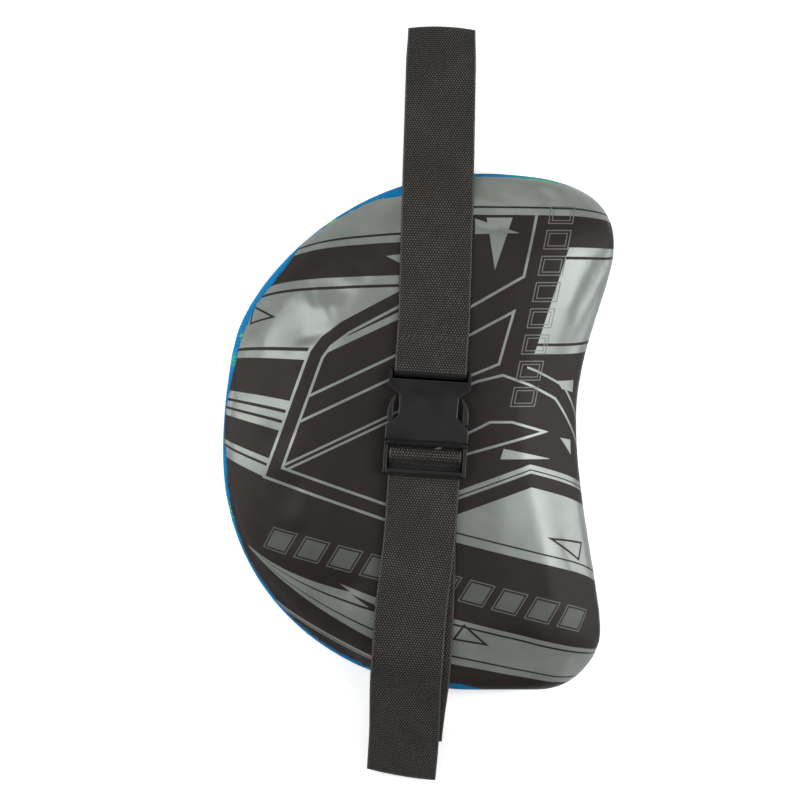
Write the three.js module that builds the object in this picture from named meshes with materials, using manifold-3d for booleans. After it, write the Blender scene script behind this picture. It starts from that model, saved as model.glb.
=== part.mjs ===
// A belted body shield: a kidney-shaped foam pad in a two-piece cover, carried on a
// waist belt that closes over the pad's face with a side-release buckle.
// The pad lies on its back: +Z leaves the padded face, +Y runs along the belt.
// Millimetres, with the floor at Z = 0.
import * as THREE from "three";
import * as BufferGeometryUtils from "three/addons/utils/BufferGeometryUtils.js";
import Module from "manifold-3d";

const wasm = await Module();
wasm.setup();

// ---- Driving dimensions -------------------------------------------------------

// Pad outline, measured from the middle of the layout
const padTop = 165.6; // edge towards the belt's upper fold
const padBottom = 211.3;
const padLeft = 130; // the long bulging side
const padRightUpper = 157; // the two lobes of the hollow side
const padRightLower = 147;
const padHollow = 129.2; // the hollow side's nearest point

// Pad section
const padThickness = 58;
const widestHeight = 20; // height of the pad's widest line above the floor
const faceRound = 34; // how far the face's rounding reaches in from the edge
const backRound = 16;
const coverThickness = 2;
const seamHeight = 27; // the seam between face and back covers, at the middle
const seamTilt = THREE.MathUtils.degToRad(4.7); // it sinks towards the hollow side
const firmLayer = 26; // top of the firm foam layer

// Webbing
const beltWidth = 50.8;
const beltThickness = 1.8;
const topOverhang = 108.4; // upper fold, beyond the pad's edge
const bottomOverhang = 64.3;
const topFoldRadius = 4.6;
const bottomFoldRadius = 5.2;
const bottomFoldSkew = THREE.MathUtils.degToRad(6);
const tailOverhang = 34.7; // the free tail's cut end, beyond the pad's edge
const stitchedLength = 30; // fold-back behind the socket's bar

// Keepers on the back cover
const keeperThickness = 1.2;
const keeperWidth = 26;
const keeperTab = 15; // sewn length on each side of the belt's channel
const keeperPlaces = { keeper_upper: 96, keeper_lower: -128 };

// Buckle, in its own frame: u across, v along the belt, z up
const buckleX = 19.1;
const buckleY = -17.5;
const buckleTilt = THREE.MathUtils.degToRad(3.7);
const earWall = 2.3; // beside the webbing slots
const collarWall = 2.1;
const waistInset = 6.2; // from the cavity's side in to the waist
const waistWall = 4.3;
const barPlace = 36.9; // the socket's webbing bar
const barRadius = 1.9;
const earBottom = 26;
const waistTop = 19.7;
const waistBottom = 6;
const collarTop = -1.4;
const mouth = -12.2;
const socketHeight = 12.8;
const socketFloor = 3.3;
const socketRoof = 2;
const plugEnd = -36.5;
const railWidth = 2.7;
const plugBarWidth = 5;
const centreBarPlace = -21.4;
const centreBarHeight = 2.6;
const outerBarHeight = 4;
const tonguePlay = 3; // beside the guide tongue in its channel
const tongueTop = 17;

// Clearances
const gap = 0.3; // between pieces that touch
const beltLift = 0.5; // between the face cover and the belt
const slideGap = 0.4; // between pieces that slide on each other
const layerGap = 0.7; // between two layers of webbing that can slide
const slotPlay = 1.1; // beside the webbing in the buckle's slots
const keeperPlay = 1.2; // around a keeper and beside the belt in its channel

// ---- Heights that follow from them --------------------------------------------

const lowerLayer = padThickness + beltLift + beltThickness / 2; // webbing mid-height
const upperLayer = lowerLayer + beltThickness + layerGap;
const layerTop = upperLayer + beltThickness / 2;
const floorLayer = gap + beltThickness / 2;
const channelLayer = keeperThickness + gap + beltThickness / 2;
const channelRoof = keeperThickness + gap + beltThickness + gap;
const barHeight = lowerLayer + beltThickness / 2 + gap + barRadius;
const socketBottom = padThickness + beltLift + gap;
const socketTop = socketBottom + socketHeight;
const plugBottom = layerTop + slideGap;
const plugTop = socketTop - socketRoof - slideGap;
const slotHalf = beltWidth / 2 + slotPlay;
const earHalf = slotHalf + earWall;
const cavityHalf = slotHalf + 0.5;
const collarHalf = cavityHalf + collarWall;
const waistHalf = cavityHalf - waistInset;
const channelHalf = waistHalf - waistWall;
const tongueHalf = channelHalf - tonguePlay;
const wrap = gap + beltThickness / 2; // webbing mid-line off the bar it turns around

// ---- Solids -------------------------------------------------------------------

function toSolid(geometry) {
  const bare = geometry.index ? geometry.toNonIndexed() : geometry.clone();
  bare.deleteAttribute("normal");
  bare.deleteAttribute("uv");
  const merged = BufferGeometryUtils.mergeVertices(bare, 1e-4);
  const vertProperties = new Float32Array(merged.attributes.position.array);
  const triVerts = new Uint32Array(merged.index.array);
  return new wasm.Manifold(new wasm.Mesh({ numProp: 3, vertProperties, triVerts }));
}

function toGeometry(solid) {
  const mesh = solid.getMesh();
  const geometry = new THREE.BufferGeometry();
  geometry.setAttribute("position", new THREE.BufferAttribute(mesh.vertProperties, 3));
  geometry.setIndex(new THREE.BufferAttribute(mesh.triVerts, 1));
  geometry.computeVertexNormals();
  return geometry;
}

// A box from its low corner to its high corner
function block(x0, x1, y0, y1, z0, z1) {
  const box = new THREE.BoxGeometry(x1 - x0, y1 - y0, z1 - z0);
  box.translate((x0 + x1) / 2, (y0 + y1) / 2, (z0 + z1) / 2);
  return toSolid(box);
}

// A flat outline of [x, y] corners, raised from z0 to z1
function plate(corners, z0, z1) {
  const shape = new THREE.Shape(corners.map(([x, y]) => new THREE.Vector2(x, y)));
  const body = new THREE.ExtrudeGeometry(shape, { depth: z1 - z0, bevelEnabled: false });
  body.translate(0, 0, z0);
  return body;
}

// The same, for a side view of [v, z] corners raised across u
function sidePlate(corners, half) {
  const body = plate(corners, -half, half);
  body.applyMatrix4(new THREE.Matrix4().set(0, 0, 1, 0, 1, 0, 0, 0, 0, 1, 0, 0, 0, 0, 0, 1));
  return body;
}

// An elliptical bar across the buckle
function crossBar(v, z, width, height, half) {
  const bar = new THREE.CylinderGeometry(0.5, 0.5, 2 * half, 20);
  bar.rotateZ(Math.PI / 2);
  bar.scale(1, width, height);
  bar.translate(0, v, z);
  return toSolid(bar);
}

// ---- The pad ------------------------------------------------------------------

function padOutline() {
  const path = new THREE.Path();
  path.moveTo(58, padTop);
  path.bezierCurveTo(112, padTop, padRightUpper, padTop - 10, padRightUpper, padTop - 53);
  path.bezierCurveTo(padRightUpper, padTop - 82, padHollow, 38, padHollow, -14);
  path.bezierCurveTo(padHollow, -70, padRightLower - 2, -128, padRightLower, 45 - padBottom);
  path.bezierCurveTo(padRightLower + 1, 25 - padBottom, 126, -padBottom, 103, -padBottom);
  path.lineTo(50, -padBottom);
  path.bezierCurveTo(-44, -padBottom, -padLeft - 2, -144, -padLeft, -34);
  path.bezierCurveTo(-padLeft, -8, 5.5 - padLeft, 34, 10.5 - padLeft, 49);
  path.bezierCurveTo(24 - padLeft, 90, -40, padTop, 58, padTop);
  return path.getSpacedPoints(88).slice(0, -1);
}

const outline = padOutline();

// The outline moved inwards, as a ring of points
function insetRing(inset) {
  const count = outline.length;
  return outline.map((point, i) => {
    const along = outline[(i + 1) % count].clone().sub(outline[(i + count - 1) % count]);
    const inward = new THREE.Vector2(along.y, -along.x).normalize();
    return point.clone().addScaledVector(inward, inset);
  });
}

// The pad's rounded body with its whole surface moved inwards by skin
function padBody(skin) {
  const levels = [];
  const rise = padThickness - widestHeight - skin;
  const drop = widestHeight - skin;
  for (let i = 0; i <= 4; i += 1) {
    const turn = (Math.PI / 2) * (1 - i / 4);
    levels.push([backRound - (backRound - skin) * Math.cos(turn), widestHeight - drop * Math.sin(turn)]);
  }
  for (let i = 1; i <= 6; i += 1) {
    const turn = (Math.PI / 2) * (i / 6);
    levels.push([faceRound - (faceRound - skin) * Math.cos(turn), widestHeight + rise * Math.sin(turn)]);
  }
  const count = outline.length;
  const points = levels.flatMap(([inset, z]) => insetRing(inset).map((p) => [p.x, p.y, z]));
  const faces = [];
  for (let ring = 0; ring < levels.length - 1; ring += 1) {
    for (let i = 0; i < count; i += 1) {
      const a = ring * count + i;
      const b = ring * count + ((i + 1) % count);
      faces.push(a, a + count, b, b, a + count, b + count);
    }
  }
  const last = (levels.length - 1) * count;
  const cap = THREE.ShapeUtils.triangulateShape(insetRing(faceRound), []);
  const base = THREE.ShapeUtils.triangulateShape(insetRing(backRound), []);
  cap.forEach(([a, b, c]) => faces.push(last + a, last + b, last + c));
  base.forEach(([a, b, c]) => faces.push(a, c, b));
  const geometry = new THREE.BufferGeometry();
  geometry.setAttribute("position", new THREE.Float32BufferAttribute(points.flat(), 3));
  geometry.setIndex(faces);
  return toSolid(geometry);
}

// Everything above (side 1) or below (side -1) the tilted seam
function seamSide(side) {
  const size = 4 * (padTop + padBottom);
  const half = new THREE.BoxGeometry(size, size, size);
  half.translate(0, 0, side * (size / 2 + gap / 2));
  half.rotateY(seamTilt);
  half.translate(0, 0, seamHeight);
  return toSolid(half);
}

// ---- The belt's course --------------------------------------------------------

const { smoothstep } = THREE.MathUtils;

// Sideways place of the belt's middle at a distance along it: straight through the
// buckle, then each run swings a little to the hollow side's opposite.
function beltShift(y) {
  const straight = buckleX + (y - buckleY) * Math.tan(buckleTilt);
  const upper = -0.034 * Math.max(0, y - 60);
  const lower = -3.3 * smoothstep(-y, 85, 165) + 1.7 * smoothstep(-y, 195, 245);
  return straight + upper + lower;
}

function beltHeading(y) {
  const run = 4;
  const slope = (beltShift(y + run) - beltShift(y - run)) / (2 * run);
  const skew = bottomFoldSkew * smoothstep(-y, padBottom + tailOverhang, padBottom + bottomOverhang);
  return Math.atan(slope) + skew;
}

// The free tail lies a little towards the hollow side of the run that covers it
function tailDrift(y) {
  return 5.6 * smoothstep(-y, 80, 165) - 3.4 * smoothstep(-y, 195, 245);
}

// A band of webbing along a course of [y, z] points
function band(course, width = beltWidth, thickness = beltThickness, drift = () => 0) {
  const points = [];
  course.forEach((point, i) => {
    const before = course[Math.max(0, i - 1)];
    const after = course[Math.min(course.length - 1, i + 1)];
    const along = new THREE.Vector2(after[0] - before[0], after[1] - before[1]).normalize();
    [[-1, -1], [1, -1], [1, 1], [-1, 1]].forEach(([across, face]) => {
      const y = point[0] - (face * along.y * thickness) / 2;
      const z = point[1] + (face * along.x * thickness) / 2;
      const heading = beltHeading(y);
      const s = (across * width) / 2 + drift(y);
      const x = beltShift(y) + s * Math.cos(heading);
      points.push(x, y - s * Math.sin(heading), z);
    });
  });
  const faces = [];
  const last = 4 * (course.length - 1);
  for (let ring = 0; ring < last; ring += 4) {
    for (let side = 0; side < 4; side += 1) {
      const [a, b] = [ring + side, ring + ((side + 1) % 4)];
      faces.push(a, b + 4, b, a, a + 4, b + 4);
    }
  }
  faces.push(0, 1, 2, 0, 2, 3, last, last + 2, last + 1, last, last + 3, last + 2);
  const geometry = new THREE.BufferGeometry();
  geometry.setAttribute("position", new THREE.Float32BufferAttribute(points, 3));
  geometry.setIndex(faces);
  geometry.computeVertexNormals();
  return geometry;
}

function line(from, to, steps = 1) {
  const points = [];
  for (let i = 0; i <= steps; i += 1) {
    points.push([from[0] + ((to[0] - from[0]) * i) / steps, from[1] + ((to[1] - from[1]) * i) / steps]);
  }
  return points;
}

// A level change between two flat stretches
function ramp(from, to, steps = 6) {
  const reach = (to[0] - from[0]) / 2;
  const curve = new THREE.CubicBezierCurve(
    new THREE.Vector2(...from),
    new THREE.Vector2(from[0] + reach, from[1]),
    new THREE.Vector2(to[0] - reach, to[1]),
    new THREE.Vector2(...to),
  );
  return curve.getPoints(steps).map((p) => [p.x, p.y]);
}

function arc(centre, radii, from, to, steps) {
  const points = [];
  for (let i = 0; i <= steps; i += 1) {
    const turn = from + ((to - from) * i) / steps;
    points.push([centre[0] + radii[0] * Math.cos(turn), centre[1] + radii[1] * Math.sin(turn)]);
  }
  return points;
}

function withoutRepeats(points) {
  return points.filter((p, i) => !i || Math.hypot(p[0] - points[i - 1][0], p[1] - points[i - 1][1]) > 0.05);
}

// The course at one end of the pad, from the flat of the face over the rounded edge and
// down to the fold's lowest point, for webbing whose mid-line is `off` above the pad.
function endCourse({ edge, overhang, foldRadius, off }) {
  const centre = [edge - faceRound, widestHeight];
  const radii = [faceRound + off, padThickness - widestHeight + off];
  const fold = [edge + overhang - foldRadius - beltThickness / 2, floorLayer + foldRadius];
  const normalAt = (turn) => {
    const n = new THREE.Vector2(radii[1] * Math.cos(turn), radii[0] * Math.sin(turn));
    return n.normalize();
  };
  const excess = (turn) => {
    const n = normalAt(turn);
    const awayY = centre[0] + radii[0] * Math.cos(turn) - fold[0];
    const awayZ = centre[1] + radii[1] * Math.sin(turn) - fold[1];
    return awayY * n.x + awayZ * n.y - foldRadius;
  };
  let [low, high] = [0.1, Math.PI / 2];
  for (let i = 0; i < 40; i += 1) {
    const middle = (low + high) / 2;
    if (excess(middle) > 0) high = middle;
    else low = middle;
  }
  const over = arc(centre, radii, Math.PI / 2, low, 5);
  const n = normalAt(low);
  const start = Math.atan2(n.y, n.x);
  const turned = arc(fold, [foldRadius, foldRadius], start, -Math.PI / 2, 12);
  return { over, turned, free: line(over.at(-1), turned[0], 12) };
}

const topEnd = endCourse({
  edge: padTop,
  overhang: topOverhang,
  foldRadius: topFoldRadius,
  off: lowerLayer - padThickness,
});
const bottomEnd = endCourse({
  edge: padBottom,
  overhang: bottomOverhang,
  foldRadius: bottomFoldRadius,
  off: upperLayer - padThickness,
});
const flip = (points) => points.map(([y, z]) => [-y, z]);

// The part of a course between two places, with half a gap left at each cut
function between(points, low, high) {
  const [a, b] = [low + gap / 2, high - gap / 2];
  const inside = points.filter(([y]) => y > a + 0.2 && y < b - 0.2);
  const at = (y) => {
    const i = points.findIndex((p, k) => k && (p[0] - y) * (points[k - 1][0] - y) <= 0);
    const [p, q] = [points[i - 1], points[i]];
    return [y, p[1] + ((q[1] - p[1]) * (y - p[0])) / (q[0] - p[0])];
  };
  const rising = points.at(-1)[0] > points[0][0];
  return rising ? [at(a), ...inside, at(b)] : [at(b), ...inside, at(a)];
}

const alongBuckle = (v) => buckleY + v * Math.cos(buckleTilt);
const barY = alongBuckle(barPlace);
const stitchedEnd = barY + stitchedLength;
const tailEnd = -(padBottom + tailOverhang);
const topCut = padTop + topOverhang - 20;
const bottomCut = -(padBottom + bottomOverhang - 20);
const frontCut = alongBuckle(-30);
const tailCut = alongBuckle(-25);

function beltSocketFold() {
  const centre = [barY, barHeight];
  const radius = [barRadius + wrap, barRadius + wrap];
  const around = arc(centre, radius, -Math.PI / 2, -1.5 * Math.PI, 12);
  return band([...line([stitchedEnd, lowerLayer], [barY + 1, lowerLayer], 3), ...around]);
}

function beltFrontUpper() {
  const top = barHeight + barRadius + wrap;
  const settled = stitchedEnd + 20;
  const course = [
    ...ramp([barY + gap, top], [barY + 15, upperLayer]),
    ...ramp([stitchedEnd + 2, upperLayer], [settled, lowerLayer]),
    ...line([settled, lowerLayer], topEnd.over[0], 4),
    ...topEnd.over,
    ...topEnd.free,
  ];
  const straight = course.filter(([y]) => y < topCut - 2);
  return band(withoutRepeats([...straight, ...between(topEnd.free, topCut - 2, topCut)]));
}

function beltFoldTop() {
  const free = between(topEnd.free, topCut, topEnd.free.at(-1)[0] + gap / 2);
  return band(withoutRepeats([...free, ...topEnd.turned, [topCut + gap / 2, floorLayer]]));
}

// The run under the pad: on the floor at both ends, lifted onto the keepers between
function beltBackRun() {
  return band([
    ...line([bottomCut + gap / 2, floorLayer], [-padBottom - 22, floorLayer], 2),
    ...ramp([-padBottom - 20, floorLayer], [-padBottom + 5, channelLayer]),
    ...line([-padBottom + 8, channelLayer], [padTop - 8, channelLayer], 14),
    ...ramp([padTop - 5, channelLayer], [padTop + 20, floorLayer]),
    ...line([padTop + 22, floorLayer], [topCut - gap / 2, floorLayer], 3),
  ]);
}

function beltFoldBottom() {
  const free = between(bottomEnd.free, -bottomCut, bottomEnd.free.at(-1)[0] + gap / 2);
  return band(flip(withoutRepeats([...free, ...bottomEnd.turned, [gap / 2 - bottomCut, floorLayer]])));
}

function lowerCourse() {
  const flat = line([-frontCut, upperLayer], bottomEnd.over[0], 5);
  return withoutRepeats([...flat, ...bottomEnd.over, ...bottomEnd.free]);
}

function beltFrontLower() {
  return band(flip(between(lowerCourse(), -frontCut, -bottomCut)));
}

// The tail runs back under the front run, one layer further in
function beltTail() {
  const course = withoutRepeats([[-tailCut, upperLayer], ...lowerCourse()]);
  const under = course.map((point, i) => {
    const before = course[Math.max(0, i - 1)];
    const after = course[Math.min(course.length - 1, i + 1)];
    const along = new THREE.Vector2(after[0] - before[0], after[1] - before[1]).normalize();
    const step = upperLayer - lowerLayer;
    return [point[0] + along.y * step, point[1] - along.x * step];
  });
  return band(flip(between(under, -tailCut, -tailEnd)), beltWidth, beltThickness, tailDrift);
}

// Up through the plug's outer slot, over its centre bar and down the inner slot
function beltAdjusterTurn() {
  const barTop = plugBottom + centreBarHeight;
  const over = barTop + wrap;
  const far = centreBarPlace + plugBarWidth / 2 + wrap;
  const bend = 2;
  const course = [
    ...ramp([-30 + gap / 2, upperLayer], [-22.5, over], 8),
    ...arc(
      [centreBarPlace, barTop - centreBarHeight / 2],
      [plugBarWidth / 2 + wrap, centreBarHeight / 2 + wrap],
      Math.PI / 2,
      0,
      6,
    ),
    ...arc([far - bend, lowerLayer + bend], [bend, bend], 0, -Math.PI / 2, 5),
    [-25 + gap / 2, lowerLayer],
  ];
  return band(withoutRepeats(course).map(([v, z]) => [alongBuckle(v), z]));
}

// ---- Channel and keeper recesses in the pad's back ----------------------------

function backChannel(skin) {
  const roof = channelRoof + skin;
  const low = -20;
  const course = line([-padBottom - 60, (roof + low) / 2], [padTop + 60, (roof + low) / 2], 20);
  return toSolid(band(course, beltWidth + 2 * (keeperPlay + skin), roof - low));
}

function keeperBlock(y, extra, z0, z1) {
  const across = beltWidth / 2 + keeperPlay + keeperTab + extra;
  const along = keeperWidth / 2 + extra;
  const body = new THREE.BoxGeometry(2 * across, 2 * along, z1 - z0);
  body.translate(0, 0, (z0 + z1) / 2);
  body.rotateZ(-beltHeading(y));
  body.translate(beltShift(y), y, 0);
  return body;
}

function keeperRecess(y, skin) {
  return toSolid(keeperBlock(y, keeperPlay + skin, -10, keeperThickness + gap + skin));
}

// The pad's body with its channel and recesses, moved inwards by skin
function channelledBody(skin) {
  const cuts = Object.values(keeperPlaces).map((y) => keeperRecess(y, skin));
  return cuts.reduce((body, cut) => body.subtract(cut), padBody(skin).subtract(backChannel(skin)));
}

function foamLayer(low, high) {
  const reach = 2 * (padTop + padBottom);
  const slab = block(-reach, reach, -reach, reach, low, high);
  return toGeometry(channelledBody(coverThickness + gap).intersect(slab));
}

function cover(side) {
  const hollow = channelledBody(coverThickness);
  return toGeometry(channelledBody(0).subtract(hollow).intersect(seamSide(side)));
}

// ---- The buckle ---------------------------------------------------------------

const mirrored = (half) => [...half, ...half.map(([u, v]) => [-u, v]).reverse()];

function buckleSocket() {
  const top = barPlace + 1.8;
  const slotBottom = 31.5;
  const plan = mirrored([
    [earHalf - 1.5, top],
    [earHalf, top - 1.5],
    [earHalf, earBottom],
    [waistHalf, waistTop],
    [waistHalf, waistBottom],
    [collarHalf, collarTop],
    [collarHalf, mouth],
  ]);
  const side = [
    [mouth, socketBottom],
    [top, socketBottom],
    [top, barHeight + barRadius + 1],
    [slotBottom, socketTop - 3],
    [waistTop, socketTop - 0.4],
    [waistBottom, socketTop],
    [mouth + 1, socketTop - 0.2],
    [mouth, socketTop - 1.2],
  ];
  const inside = [socketBottom + socketFloor, socketTop - socketRoof];
  return toSolid(plate(plan.reverse(), socketBottom, socketTop))
    .intersect(toSolid(sidePlate(side, 2 * earHalf)))
    .subtract(block(-cavityHalf, cavityHalf, mouth - 2, waistBottom + 1, ...inside))
    .subtract(block(-channelHalf, channelHalf, 0, tongueTop + 3, ...inside))
    .subtract(block(-slotHalf, slotHalf, slotBottom, top + 2, socketBottom - 1, socketTop + 1))
    .add(crossBar(barPlace, barHeight, 2 * barRadius, 2 * barRadius, slotHalf + 0.8));
}

function bucklePlug() {
  const flangeTop = mouth - slideGap;
  const flangeBottom = flangeTop - 2.4;
  const railHalf = slotHalf + railWidth;
  const wallHalf = cavityHalf - slideGap;
  const railTop = plugBottom + outerBarHeight + 0.4;
  const outerPlace = plugEnd + plugBarWidth / 2;
  const barMiddle = (height) => plugBottom + height / 2;
  const guide = plate(
    mirrored([
      [tongueHalf, mouth],
      [tongueHalf, tongueTop - 4],
      [tongueHalf - 4, tongueTop],
    ]),
    plugBottom,
    plugTop - 1.2,
  );
  const rails = [-1, 1].map((side) => {
    const edges = [side * slotHalf, side * railHalf].sort((a, b) => a - b);
    return block(...edges, plugEnd + 1, flangeTop, socketBottom + 0.5, railTop);
  });
  return block(-railHalf, railHalf, flangeBottom, flangeTop, plugBottom, plugTop - 1)
    .add(block(-wallHalf, wallHalf, flangeTop - 1, mouth + 3.4, plugBottom, plugTop))
    .add(toSolid(guide))
    .add(rails[0])
    .add(rails[1])
    .add(crossBar(centreBarPlace, barMiddle(centreBarHeight), plugBarWidth, centreBarHeight, railHalf - 0.5))
    .add(crossBar(outerPlace, barMiddle(outerBarHeight), plugBarWidth, outerBarHeight, railHalf - 0.5));
}

// One latching arm: a beam through the collar and a finger pad in the side window
function plugArm(side) {
  const root = mouth + 3.4 + gap;
  const beamInner = cavityHalf - 4;
  const beamOuter = cavityHalf - 0.8;
  const pad = collarHalf - 0.5;
  const corners = [
    [beamInner, root],
    [beamOuter, root],
    [beamOuter + 0.1, collarTop + 2.9],
    [pad, collarTop + 1.7],
    [pad, waistTop - 10.7],
    [pad - 1.4, waistTop - 5.2],
    [waistHalf + 3.4, waistTop + 0.5],
    [waistHalf + 2, waistTop - 0.7],
    [waistHalf + 3.4, waistTop - 5.7],
    [waistHalf + 3.4, waistBottom],
  ];
  const ordered = side > 0 ? corners : corners.map(([u, v]) => [-u, v]).reverse();
  return toSolid(plate(ordered, plugBottom, plugTop));
}

// ---- The stitch row that closes the socket's fold ------------------------------

function stitchRow() {
  const radius = 0.45;
  const pitch = 4;
  const half = 20;
  const y = stitchedEnd - 6;
  const height = layerTop + gap + radius;
  const route = new THREE.CurvePath();
  let last = null;
  for (let i = 0; i <= (2 * half) / pitch; i += 1) {
    const across = -half + i * pitch;
    const heading = beltHeading(y);
    [-1.2, 1.2].forEach((step) => {
      const s = across + step * 0.9;
      const place = y + step - s * Math.sin(heading);
      const next = new THREE.Vector3(beltShift(y) + s * Math.cos(heading), place, height);
      if (last) route.add(new THREE.LineCurve3(last, next));
      last = next;
    });
  }
  const section = new THREE.Shape(
    [0, 1, 2, 3, 4, 5].map((k) => {
      const turn = (k * Math.PI) / 3;
      return new THREE.Vector2(radius * Math.cos(turn), radius * Math.sin(turn));
    }),
  );
  const thread = new THREE.ExtrudeGeometry(section, { steps: 63, extrudePath: route });
  return thread;
}

// ---- Materials and assembly ----------------------------------------------------

const finishes = {
  print: { color: 0x6f726f, roughness: 0.35, metalness: 0 },
  backing: { color: 0x0c84c4, roughness: 0.55, metalness: 0 },
  foam: { color: 0xd8d6cc, roughness: 0.9, metalness: 0 },
  foamFirm: { color: 0x9fa3a3, roughness: 0.9, metalness: 0 },
  webbing: { color: 0x2d2a26, roughness: 0.8, metalness: 0 },
  thread: { color: 0x4a4742, roughness: 0.7, metalness: 0 },
  acetal: { color: 0x262624, roughness: 0.4, metalness: 0 },
};

const object = new THREE.Group();
const buckle = new THREE.Group();
buckle.position.set(buckleX, buckleY, 0);
buckle.rotation.z = -buckleTilt;
object.add(buckle);

function place(parent, name, finish, geometry) {
  const mesh = new THREE.Mesh(geometry, new THREE.MeshStandardMaterial(finishes[finish]));
  mesh.name = name;
  parent.add(mesh);
}

place(object, "foam_core_firm", "foamFirm", foamLayer(0, firmLayer - gap / 2));
place(object, "foam_core_soft", "foam", foamLayer(firmLayer + gap / 2, 2 * padThickness));
place(object, "face_cover", "print", cover(1));
place(object, "back_cover", "backing", cover(-1));
Object.entries(keeperPlaces).forEach(([name, y]) => {
  place(object, name, "webbing", keeperBlock(y, 0, 0, keeperThickness));
});
place(object, "belt_socket_fold", "webbing", beltSocketFold());
place(object, "belt_front_upper", "webbing", beltFrontUpper());
place(object, "belt_fold_top", "webbing", beltFoldTop());
place(object, "belt_back_run", "webbing", beltBackRun());
place(object, "belt_fold_bottom", "webbing", beltFoldBottom());
place(object, "belt_front_lower", "webbing", beltFrontLower());
place(object, "belt_adjuster_turn", "webbing", beltAdjusterTurn());
place(object, "belt_tail", "webbing", beltTail());
place(object, "stitch_row", "thread", stitchRow());
place(buckle, "buckle_socket", "acetal", toGeometry(buckleSocket()));
place(buckle, "buckle_plug", "acetal", toGeometry(bucklePlug()));
place(buckle, "plug_arm_left", "acetal", toGeometry(plugArm(-1)));
place(buckle, "plug_arm_right", "acetal", toGeometry(plugArm(1)));

// The origin is under the middle of the whole object, on the floor
object.updateMatrixWorld(true);
const extent = new THREE.Box3().setFromObject(object, true);
const middle = extent.getCenter(new THREE.Vector3());
object.position.set(-middle.x, -middle.y, 0);
object.updateMatrixWorld(true);

export default object;
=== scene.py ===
# %% [markdown]
# # A belted body shield
# The object is a kidney-shaped foam pad in a sewn cover. One length of webbing runs
# around it and closes over the face with a side-release buckle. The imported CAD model
# gives every size, and the cells below dress it: a printed face, a blue knit back,
# woven belt, keepers, thread and a moulded buckle, each made the way the real one is.

# %% Load the frame
import math
from itertools import combinations, product

import bmesh
import bpy
import numpy as np
from mathutils import Matrix, Vector, geometry
from mathutils.bvhtree import BVHTree


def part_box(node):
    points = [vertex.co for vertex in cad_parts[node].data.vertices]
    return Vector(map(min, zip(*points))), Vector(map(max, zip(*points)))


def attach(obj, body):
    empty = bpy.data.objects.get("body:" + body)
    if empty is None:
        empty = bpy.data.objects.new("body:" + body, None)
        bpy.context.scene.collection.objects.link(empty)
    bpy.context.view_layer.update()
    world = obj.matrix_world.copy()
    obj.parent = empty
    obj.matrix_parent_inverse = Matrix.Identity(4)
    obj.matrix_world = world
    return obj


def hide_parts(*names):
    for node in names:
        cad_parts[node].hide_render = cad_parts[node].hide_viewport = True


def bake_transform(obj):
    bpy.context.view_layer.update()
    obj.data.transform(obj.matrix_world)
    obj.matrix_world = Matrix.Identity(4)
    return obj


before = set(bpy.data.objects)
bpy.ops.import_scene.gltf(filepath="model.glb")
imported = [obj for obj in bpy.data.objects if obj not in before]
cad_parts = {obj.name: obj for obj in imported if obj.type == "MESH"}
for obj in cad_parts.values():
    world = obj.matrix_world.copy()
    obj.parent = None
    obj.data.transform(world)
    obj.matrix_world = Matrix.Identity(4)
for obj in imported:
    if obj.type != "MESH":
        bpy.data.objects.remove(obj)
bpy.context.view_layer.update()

MM = 0.001
scene = bpy.context.scene

# %% [markdown]
# The pad was laid out from a point near its middle, so that its outline can be given
# as a few curves. The covers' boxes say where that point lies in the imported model.

# %% Layout values, in millimetres
PAD_TOP, PAD_BOTTOM, PAD_LEFT = 165.6, 211.3, 130.0
PAD_RIGHT_UPPER, PAD_RIGHT_LOWER, PAD_HOLLOW = 157.0, 147.0, 129.2
PAD_THICKNESS, WIDEST, FACE_ROUND, BACK_ROUND = 58.0, 20.0, 34.0, 16.0
BELT_WIDTH, BELT_THICKNESS = 50.8, 1.8
LOWER_LAYER = PAD_THICKNESS + 0.5 + BELT_THICKNESS / 2
UPPER_LAYER = LOWER_LAYER + BELT_THICKNESS + 0.7

boxes = [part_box(n) for n in ("face_cover", "back_cover")]
ORIGIN = np.array([
    min(b[0].x for b in boxes) / MM + PAD_LEFT,
    max(b[1].y for b in boxes) / MM - PAD_TOP,
    0.0,
])
print("layout origin", ORIGIN.round(3))


def to_row(points):
    """Layout millimetres to metres in the model's frame."""
    return (np.asarray(points, float) + ORIGIN) * MM


def to_layout(points):
    return np.asarray(points, float) / MM - ORIGIN


def smooth(value, low, high):
    t = np.clip((np.asarray(value, float) - low) / (high - low), 0, 1)
    return t * t * (3 - 2 * t)


# %% Helpers for meshes
def new_object(name, mesh):
    made = bpy.data.objects.new(name, mesh)
    scene.collection.objects.link(made)
    return made


def from_bmesh(name, bm):
    mesh = bpy.data.meshes.new(name)
    bm.to_mesh(mesh)
    bm.free()
    return new_object(name, mesh)


def bmesh_of(mesh):
    bm = bmesh.new()
    bm.from_mesh(mesh)
    return bm


def coordinates(mesh):
    co = np.empty(len(mesh.vertices) * 3)
    mesh.vertices.foreach_get("co", co)
    return co.reshape(-1, 3)


def set_coordinates(mesh, co):
    mesh.vertices.foreach_set("co", np.asarray(co, float).ravel())
    mesh.update()


def settle(piece):
    """Applies a piece's modifiers, so that its mesh is final."""
    graph = bpy.context.evaluated_depsgraph_get()
    done = bpy.data.meshes.new_from_object(piece.evaluated_get(graph), depsgraph=graph)
    piece.modifiers.clear()
    piece.data = done
    done.name = piece.name
    return piece


def report(piece):
    co = coordinates(piece.data) / MM
    print(piece.name, len(piece.data.polygons), "faces", co.min(0).round(1), co.max(0).round(1))


# %% [markdown]
# Colours are written as they look on a screen, and a shader works in linear light, so
# one function turns them. Another adds a shader node with its settings and its links,
# and short ones stand for the nodes that come up again and again.


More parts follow.
